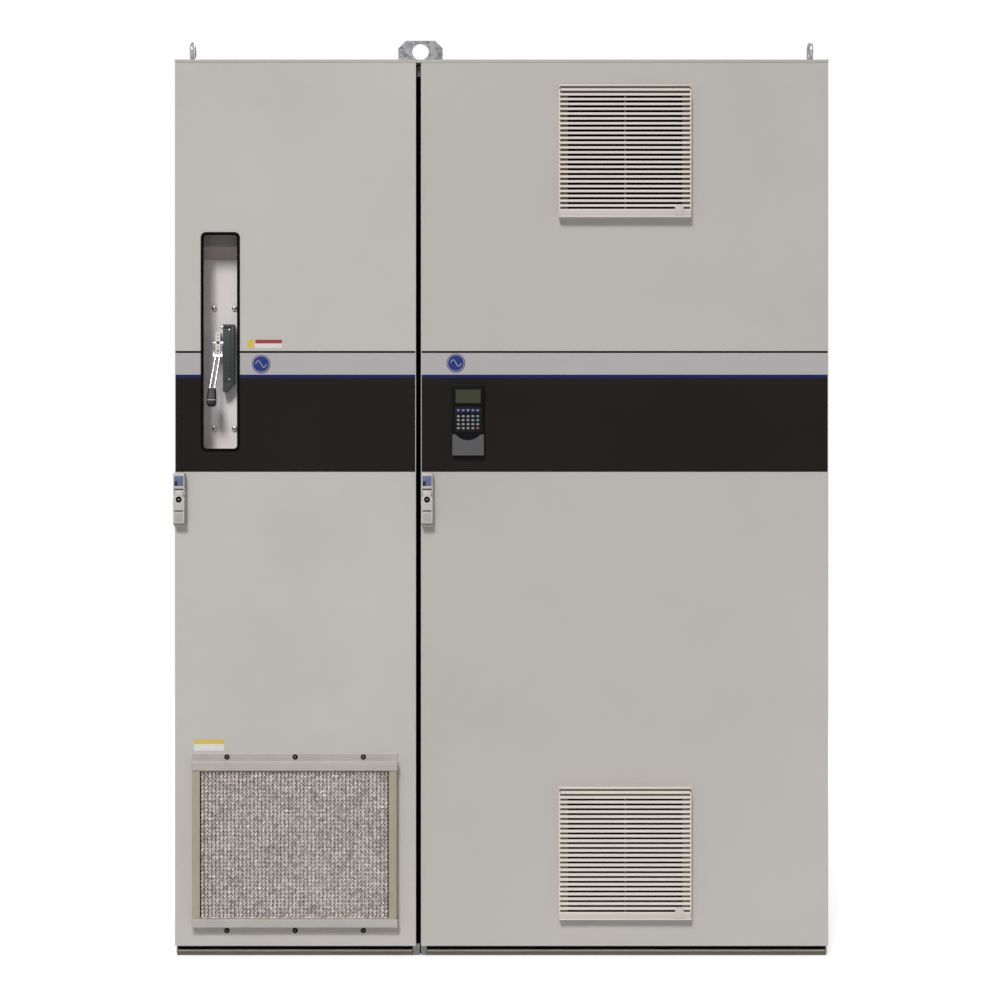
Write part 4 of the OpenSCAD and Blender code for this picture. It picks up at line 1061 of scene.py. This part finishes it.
def ribbed_grip():
    """Moulded grip with a raised band and finger ribs, laid along the resting handle."""
    pivot = joint_place("handle_grip")
    low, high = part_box("handle_grip")
    x = (low.x + high.x) / 2
    base = Vector((x, pivot.y, pivot.z))
    along = (Vector((x, (low.y + high.y) / 2, (low.z + high.z) / 2)) - base).normalized()
    out = Vector((0, along.z, -along.y))
    if out.y > 0:
        out = -out
    reach = max((v.co - Vector((v.co.x, pivot.y, pivot.z))).dot(along)
                for v in frame["nodes"]["handle_grip"].data.vertices)
    side = Vector((1, 0, 0))

    def ring(work, r, half_w, half_d):
        """A rounded section across the grip at a distance r from the pivot."""
        corner = min(half_w, half_d) * 0.45
        points = rounded_outline(2 * half_w, 2 * half_d, corner, 4)
        return [work.verts.new(base + along * r + side * px + out * pz) for px, pz in points]

    work = bmesh.new()
    length = 44 * MM
    shape = [(0, 8.6, 6.6), (0.8, 9.4, 7.6), (10, 10.2, 7.7), (20, 11.0, 7.8), (29, 11.6, 7.8),
             (29.6, 11.9, 8.0), (32.4, 11.9, 8.0),
             (33, 11.4, 7.7), (38, 11.4, 7.7), (42.6, 9.6, 7.4), (43.6, 8.6, 6.6)]
    rings = [ring(work, reach - length + r * MM, w * MM, d * MM) for r, w, d in shape]
    band = 5
    faces = skin(work, rings)
    for face in faces[band * len(rings[0]):(band + 1) * len(rings[0])]:
        face.material_index = 1
    for k in range(4):
        r0 = reach - length + (6 + 5 * k) * MM
        a = ring(work, r0, 9.6 * MM + k * 0.5 * MM, 8.0 * MM)
        b = ring(work, r0 + 1.6 * MM, 9.8 * MM + k * 0.5 * MM, 8.0 * MM)
        skin(work, (a, b))
    stand_in(work, "moulded_grip", ["black_plastic", "key_grey"], "handle_grip")


ribbed_grip()


# ---------------------------------------------------------------- filter mesh

STRAND_PITCH = 9.4 * MM
CELL_H = 9.4 * MM
STRAND_HALF = 2.3 * MM


def filter_media():
    """Two layers of crimped aluminium over a dark pad of painted shade: upright strands that lean back and forth
    in step.
    """
    low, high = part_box("filter_mesh")
    rim = 19 * MM
    x0, x1, z0, z1 = low.x + rim, high.x - rim, low.z + rim - 6 * MM, high.z - rim + 6 * MM
    count = round((x1 - x0) / STRAND_PITCH)
    step = (x1 - x0) / count
    rows = round((z1 - z0) / CELL_H) * 2
    for layer, (depth, shift, slim) in enumerate(((2.6 * MM, 0.5, 1.0), (8.0 * MM, 0.0, 0.8))):
        work = bmesh.new()
        for i in range(count):
            rings = []
            for k in range(rows + 1):
                z = z0 + (z1 - z0) * k / rows
                way = 1 if k % 2 else -1
                drift = noise.noise(Vector((i * 3.1, layer * 7.0, k * 2.3))) * MM
                sway = noise.noise(Vector((i * 0.3, layer * 5.0, z * 40))) * MM
                x = x0 + step * (i + shift) + way * 0.17 * step + drift * 0.5 + sway * 0.4
                y = low.y + depth + way * 1.1 * MM + drift * 0.5
                swell = noise.noise(Vector((i * 1.7, k * 1.9, layer * 3.0)))
                wide = slim * STRAND_HALF * (1.0 + 0.25 * swell)
                x = min(max(x, x0 + wide), x1 - wide)
                tilt = noise.noise(Vector((i * 2.7, k * 3.3, 4.0))) * 1.6 * MM
                rings.append([work.verts.new((x - wide, y + 0.5 * MM + tilt, z)),
                              work.verts.new((x, y - 0.7 * MM, z)),
                              work.verts.new((x + wide, y + 0.5 * MM - tilt, z))])
            skin(work, rings)
        piece_from(work, f"mesh_layer_{layer + 1}", "filter_media", BODY_OF["filter_mesh"],
                   ["filter_mesh"] if layer == 0 else ())
    # dark pad behind the mesh: painted shade for the inside of the filter
    work = bmesh.new()
    mm_box(work, low, (1, 11, 1), (-1, -0.5, -1), 1.5, to=high)
    piece_from(work, "filter_shade_pad", "pad_shade", BODY_OF["filter_mesh"])
    work = bmesh.new()
    mm_box(work, (x0, low.y, z0), (0, 0.8, 5), (0, 2.2, 8), 0.5, to=(x1, low.y, z0))
    piece_from(work, "mesh_hem", "filter_media", BODY_OF["filter_mesh"])
    DONE.add("filter_mesh")


filter_media()
crisp("filter_frame", 0.7 * MM, 2, "frame_beige")


# ---------------------------------------------------------------- plinth and seam


def plinth():
    """Dark strip of painted shade under the doors with a rolled bar along it and painted shade below the bar, a
    near-black strip of painted shade down the seam, and a bracket at the head of the seam.
    """
    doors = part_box("input_door"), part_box("power_door")
    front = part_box("frame_rails")[0].y
    under = doors[0][0].z
    work = bmesh.new()
    for (low, high), trims in zip(doors, ((3, 9), (13, 3))):
        x0, x1 = low.x + trims[0] * MM, high.x - trims[1] * MM
        # black strip under the doors: painted shade for the shadowed gap there
        mm_box(work, (x0, front, 0), (0, -1.2, 0.6), (0, -0.05, -0.6), 0.2, to=(x1, front, under))
        mm_box(work, (x0, front, 0), (1, -5.0, 9.6), (-1, -1, 15.2), 1.6, 3, slot=1, to=(x1, front, 0))
        # darker strip below the rolled bar: painted shade
        mm_box(work, (x0, front, 0), (1, -3.0, 1.6), (-1, -1, 8.4), 0.6, 2, slot=2, to=(x1, front, 0))
    # near-black strip down the seam between the doors: painted shade for the gap
    seam_x0, seam_x1 = doors[0][1].x - 3 * MM, doors[1][0].x + 3 * MM
    mm_box(work, (seam_x0, front, under), (0, -1.9, 0), (0, -0.05, 0), 0.3, slot=3,
           to=(seam_x1, front, doors[0][1].z))
    piece_from(work, "plinth_trim", ["black_rubber", "plinth_bar", "plinth_low_shade", "seam_shade_black"], "cabinet")
    work = bmesh.new()
    x0, x1 = doors[0][1].x + 0.8 * MM, doors[1][0].x - 0.8 * MM
    top = doors[0][1].z - 3 * MM
    mm_box(work, (x0, front, top), (0, -2.2, -26), (0, -0.05, 0), 0.5, to=(x1, front, top))
    add_lathe(work, ((x0 + x1) / 2, front - 2.2 * MM, top - 9 * MM), TO_FRONT,
              button_profile(2.6 * MM, 1.4 * MM, 0.8 * MM), 24, 1)
    (left_low, left_high), (_, right_high) = doors
    lip_work = bmesh.new()
    mm_box(lip_work, (left_low.x, left_low.y, left_high.z), (0, 1, 0.6), (0, 3.5, -0.05), 0.5,
           to=(right_high.x, left_low.y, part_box("roof_plates")[0].z))
    piece_from(lip_work, "roof_lip", "cabinet_paint", "cabinet")
    piece_from(work, "seam_bracket", ["galvanised", "indicator_dark"], "cabinet")


plinth()


crisp("input_door", 1.8 * MM, 4, "door_paint_pale")
crisp("power_door", 1.8 * MM, 4)
crisp("window_trim", 0.7 * MM, 3)
crisp("eyebolts", 0.8 * MM, 2, "eye_zinc")


# ---------------------------------------------------------------- outer panels


def turned_screw(work, place, axis, radius, height, slot, recess):
    """A low screw head along any axis, with a cross recess."""
    add_lathe(work, place, axis, [(radius, 0), (radius, height * 0.4), (radius * 0.8, height),
                                  (0.2 * MM, height)], 24, slot)
    centre, way = Vector(place), Vector(axis)
    across = Vector((0, 0, 1)) if abs(way.z) < 0.5 else Vector((1, 0, 0))
    other = way.cross(across)
    for long, short in ((across, other), (other, across)):
        reach = Vector([abs(v) for v in radius * 0.5 * long + radius * 0.12 * short])
        depth = Vector([abs(v) for v in way]) * 0.15 * MM
        tip = centre + way * (height - 0.14 * MM)
        add_box(work, tip - reach - depth, tip + reach + depth, slot=recess)


def outer_panels():
    """Screwed side and rear panels, set back by the height of their screw heads."""
    inset = 0.7 * MM
    for node, k in (("side_panels", 0), ("rear_panels", 1)):
        work = bmesh.new()
        for low, high in solids(node):
            face = high[k] if k == 1 or low[0] > 0 else low[k]
            way = 1 if face == high[k] else -1
            thick_low, thick_high = low.copy(), high.copy()
            if way > 0:
                thick_high[k] -= inset
            else:
                thick_low[k] += inset
            add_box(work, thick_low, thick_high, 0.5 * MM)
            u = 1 - k
            axis = [0, 0, 0]
            axis[k] = way
            rim = 22 * MM
            across = [low[u] + rim, high[u] - rim]
            spots = [(a, low.z + 40 * MM + (high.z - low.z - 80 * MM) * i / 6)
                     for a in across for i in range(7)]
            spots += [((across[0] + across[1]) / 2, z) for z in (low.z + rim, high.z - rim)]
            for a, z in spots:
                place = [0, 0, z]
                place[k], place[u] = face - way * inset, a
                turned_screw(work, place, axis, 5.5 * MM, 0.65 * MM, 1, 2)
        stand_in(work, node + "_sheet", ["cabinet_paint", "bright_steel", "indicator_dark"], node)


outer_panels()


# ---------------------------------------------------------------- inside


def post_holes():
    """System punching of the corner posts: a row of square and round holes down each inner front flange, drawn as
    dark inlays of painted shade rather than cut.
    """
    work = bmesh.new()
    for low, high in solids("frame_posts"):
        if low.y > 0:
            continue
        mid = (low.x + high.x) / 2
        for i in range(int((high.z - low.z) / (25 * MM)) - 1):
            z = low.z + (25 + 25 * i) * MM
            r = 4 * MM
            if i % 2:
                mm_box(work, (mid - r, low.y, z - r), (0, -0.12, 0), (0, 1, 0), to=(mid + r, low.y, z + r))
            else:
                add_lathe(work, (mid, low.y + 1 * MM, z), TO_FRONT, mm((3, 0), (3, 1.12), (0.1, 1.12)), 12)
    piece_from(work, "post_holes", "slot_shade", "cabinet")


def module_fronts():
    """Covers, vents, lugs and labels on the two power modules."""
    names = ["module_plastic", "slot_shade", "bar_copper", "bright_steel", "label_white", "key_green",
             "display_glass", "label_yellow"]
    for node in ("converter_module", "inverter_module"):
        low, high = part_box(node)
        front = low.y
        work = bmesh.new()
        mm_box(work, low, (14, -4, 96), (-14, 1, -120), 2.5, 3, to=(high.x, front, high.z))
        # vent slots, drawn as dark inlays of painted shade
        for i in range(9):
            z = high.z - (26 + 9.5 * i) * MM
            mm_box(work, (low.x, front, z), (26, -0.3, -2.2), (-26, 1, 2.2), slot=1, to=(high.x, front, z))
        for i in range(7):
            z = low.z + (118 + 9.5 * i) * MM
            mm_box(work, (low.x, front, z), (34, -4.3, -2.2), (-34, -3, 2.2), slot=1, to=(high.x, front, z))
        count = 3 if node == "converter_module" else 5
        step = (high.x - low.x) / count
        for i in range(count):
            x = low.x + step * (i + 0.5)
            mm_box(work, (x, front, low.z), (-15, -14, 34), (15, 1, 40), 0.8, slot=2)
            mm_box(work, (x, front, low.z), (-15, -14, 12), (15, -8, 40), 0.8, slot=2)
            add_lathe(work, (x, front - 14 * MM, low.z + 25 * MM), TO_FRONT, mm((9, 0), (9, 5), (8, 6)), 6, 3)
            add_lathe(work, (x, front - 19 * MM, low.z + 25 * MM), TO_FRONT,
                      button_profile(5 * MM, 7 * MM, 1 * MM), 20, 3)
            if i:
                mm_box(work, (x - step / 2, front, low.z), (-1.5, -22, 4), (1.5, 1, 62), 0.6)
        for sx in (low.x + 24 * MM, high.x - 24 * MM):
            for sz in (low.z + 106 * MM, (low.z + high.z) / 2, high.z - 130 * MM):
                domed_screw(work, sx, front - 4 * MM, sz, 4 * MM, 3 * MM, 3, 1)
        mid = (low.x + high.x) / 2
        mm_boxes(work, (mid, front, high.z), [
            ((-45, -4.4, -250), (45, -3, -190), 0.2, 4), ((-45, -4.6, -202), (45, -3, -190), 0.2, 7),
            ((-30, -5, -330), (30, -3, -296), 1, 6)])
        for i in range(4):
            add_lathe(work, (mid + (i - 1.5) * 14 * MM, front - 4 * MM, high.z - 350 * MM), TO_FRONT,
                      button_profile(2.5 * MM, 1.6 * MM, 0.6 * MM), 16, 5)
        for side in (-1, 1):
            hx = mid + side * 70 * MM
            for hz in (low.z + 240 * MM, low.z + 330 * MM):
                mm_box(work, (hx, front, hz), (-5, -26, -5), (5, -3, 5), 1.5)
            mm_box(work, (hx, front, low.z), (-6, -32, 232), (6, -22, 338), 3.5, 3)
        piece_from(work, node + "_front", names, "cabinet")


def capacitor_tops():
    """Dark tops with terminals on the capacitor cans."""
    work = bmesh.new()
    for low, high in solids("capacitor_bank"):
        x, z = (low.x + high.x) / 2, (low.z + high.z) / 2
        r = (high.x - low.x) / 2
        rim = [(r - 4 * MM, -1 * MM), (r - 4 * MM, 1.5 * MM), (r - 7 * MM, 1.5 * MM), (r - 8 * MM, 0.4 * MM),
               (0.2 * MM, 0.4 * MM)]
        add_lathe(work, (x, low.y, z), TO_FRONT, rim, 40)
        for dz in (-13 * MM, 13 * MM):
            add_lathe(work, (x, low.y, z + dz), TO_FRONT, button_profile(5.5 * MM, 5 * MM, 0.8 * MM), 20, 1)
    piece_from(work, "capacitor_tops", ["black_plastic", "bright_steel"], "cabinet")


def control_boards():
    """Upright boards with connectors in the control cage."""
    low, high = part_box("control_cage")
    names = ["board_green", "black_plastic", "key_grey", "bar_copper", "key_green", "label_white"]
    work = bmesh.new()
    count = 7
    for i in range(count):
        x = low.x + (high.x - low.x) * (i + 0.5) / count
        mm_box(work, (x, low.y, low.z), (-0.9, 8, 10), (0.9, -12, -10), to=(x, high.y, high.z))
        for j in range(6):
            z = low.z + (30 + 34 * j) * MM
            slot = (1, 2, 5, 2, 4, 1)[(i + j) % 6]
            mm_box(work, (x, low.y, z), (-6, 3, 0), (6, 16, 24), 0.6, slot=slot)
            for k in range(4):
                mm_box(work, (x, low.y, z), (-3.5, 2.6, 3 + 5 * k), (3.5, 3.6, 5.6 + 5 * k),
                       slot=3 if slot != 1 else 2)
    piece_from(work, "control_boards", names, "cabinet")


def switchgear():
    """Lugs, covers and ribs of the disconnect, contactor and fuses."""
    names = ["module_plastic", "slot_shade", "bar_copper", "bright_steel", "label_white", "fuse_ceramic",
             "key_red"]
    work = bmesh.new()
    for node, poles in (("disconnect_switch", 3), ("line_contactor", 3)):
        low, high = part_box(node)
        step = (high.x - low.x) / poles
        inner = 70 * MM if node == "disconnect_switch" else 58 * MM
        for i in range(poles):
            x = low.x + step * (i + 0.5)
            half = min(step * 0.32, 20 * MM)
            for z, way in ((low.z, 1), (high.z, -1)):
                z0, z1 = sorted((z + way * 8 * MM, z + way * 44 * MM))
                mm_box(work, (x - half, low.y, z0), (0, -5, 0), (0, 1, 0), 0.8, slot=2,
                       to=(x + half, low.y, z1))
                add_lathe(work, (x, low.y - 5 * MM, (z0 + z1) / 2), TO_FRONT,
                          mm((7.5, 0), (7.5, 4), (6.5, 5)), 6, 3)
                add_lathe(work, (x, low.y - 9 * MM, (z0 + z1) / 2), TO_FRONT,
                          button_profile(4 * MM, 5 * MM, 0.8 * MM), 16, 3)
                if i:
                    mm_box(work, (x - step / 2, low.y, z0), (-1.2, -12, -4), (1.2, 1, 4), 0.5,
                           to=(x - step / 2, low.y, z1))
        if node == "line_contactor":
            mm_box(work, (low.x, low.y, low.z + inner), (18, -12, 0), (-18, 1, 0), 3, 3,
                   to=(high.x, low.y, high.z - inner))
            mid = (low.x + high.x) / 2
            mm_box(work, (mid, low.y, low.z + inner), (-34, -12.5, 20), (34, -11, -44), 0.4, slot=4,
                   to=(mid, low.y, high.z - inner))
            # dark slots of painted shade in the contactor cover
            for i in range(8):
                x = low.x + (34 + 27 * i) * MM
                mm_box(work, (x, low.y, high.z - inner), (-1.6, -12.4, -30), (1.6, -11, -10), slot=1)
    for low, high in solids("line_fuses"):
        x = (low.x + high.x) / 2
        r = (high.x - low.x) * 0.38
        for z0, z1, rr, slot in ((48, 182, r, 5), (34, 52, r * 1.06, 3), (178, 196, r * 1.06, 3)):
            tall, core = (z1 - z0) * MM, 0.5 * MM
            barrel = [(core, 0), (rr - 1 * MM, 0), (rr, 1 * MM), (rr, (z1 - z0 - 1) * MM),
                      (rr - 1 * MM, tall), (core, tall)]
            add_lathe(work, (x, low.y - 6 * MM, low.z + z0 * MM), (0, 0, 1), barrel, 36, slot)
        for z0, z1 in ((14, 36), (194, 216)):
            mm_box(work, (x, low.y, low.z), (-14, -8, z0), (14, 1, z1), 1, slot=2)
    piece_from(work, "switchgear_detail", names, "cabinet")


def coil_layers():
    """Layered windings with tape over each reactor coil."""
    work = bmesh.new()
    for low, high in solids("reactor_coils"):
        turns = 18
        step = (high.z - low.z - 12 * MM) / turns
        for i in range(turns):
            z = low.z + 6 * MM + step * i
            mm_box(work, (low.x, low.y, z), (-0.9, -0.9, 0.8), (0.9, 0.9, -0.8), 1.2, 2,
                   to=(high.x, high.y, z + step))
        for z0 in (low.z, high.z - 8 * MM):
            mm_box(work, (low.x, low.y, z0), (-1.8, -1.8, 0), (1.8, 1.8, 8), 1, 2, slot=1,
                   to=(high.x, high.y, z0))
        for share in (0.3, 0.7):
            x = low.x + (high.x - low.x) * share
            mm_box(work, (x, low.y, low.z), (-7, -1.5, 6), (7, 1.5, -6), 0.4, slot=1, to=(x, high.y, high.z))
    piece_from(work, "coil_layers", ["winding_copper", "fuse_ceramic"], "cabinet")


post_holes()
module_fronts()
capacitor_tops()
control_boards()
switchgear()
coil_layers()


# ---------------------------------------------------------------- close

for node in frame["nodes"]:
    if node not in DONE:
        crisp(node)
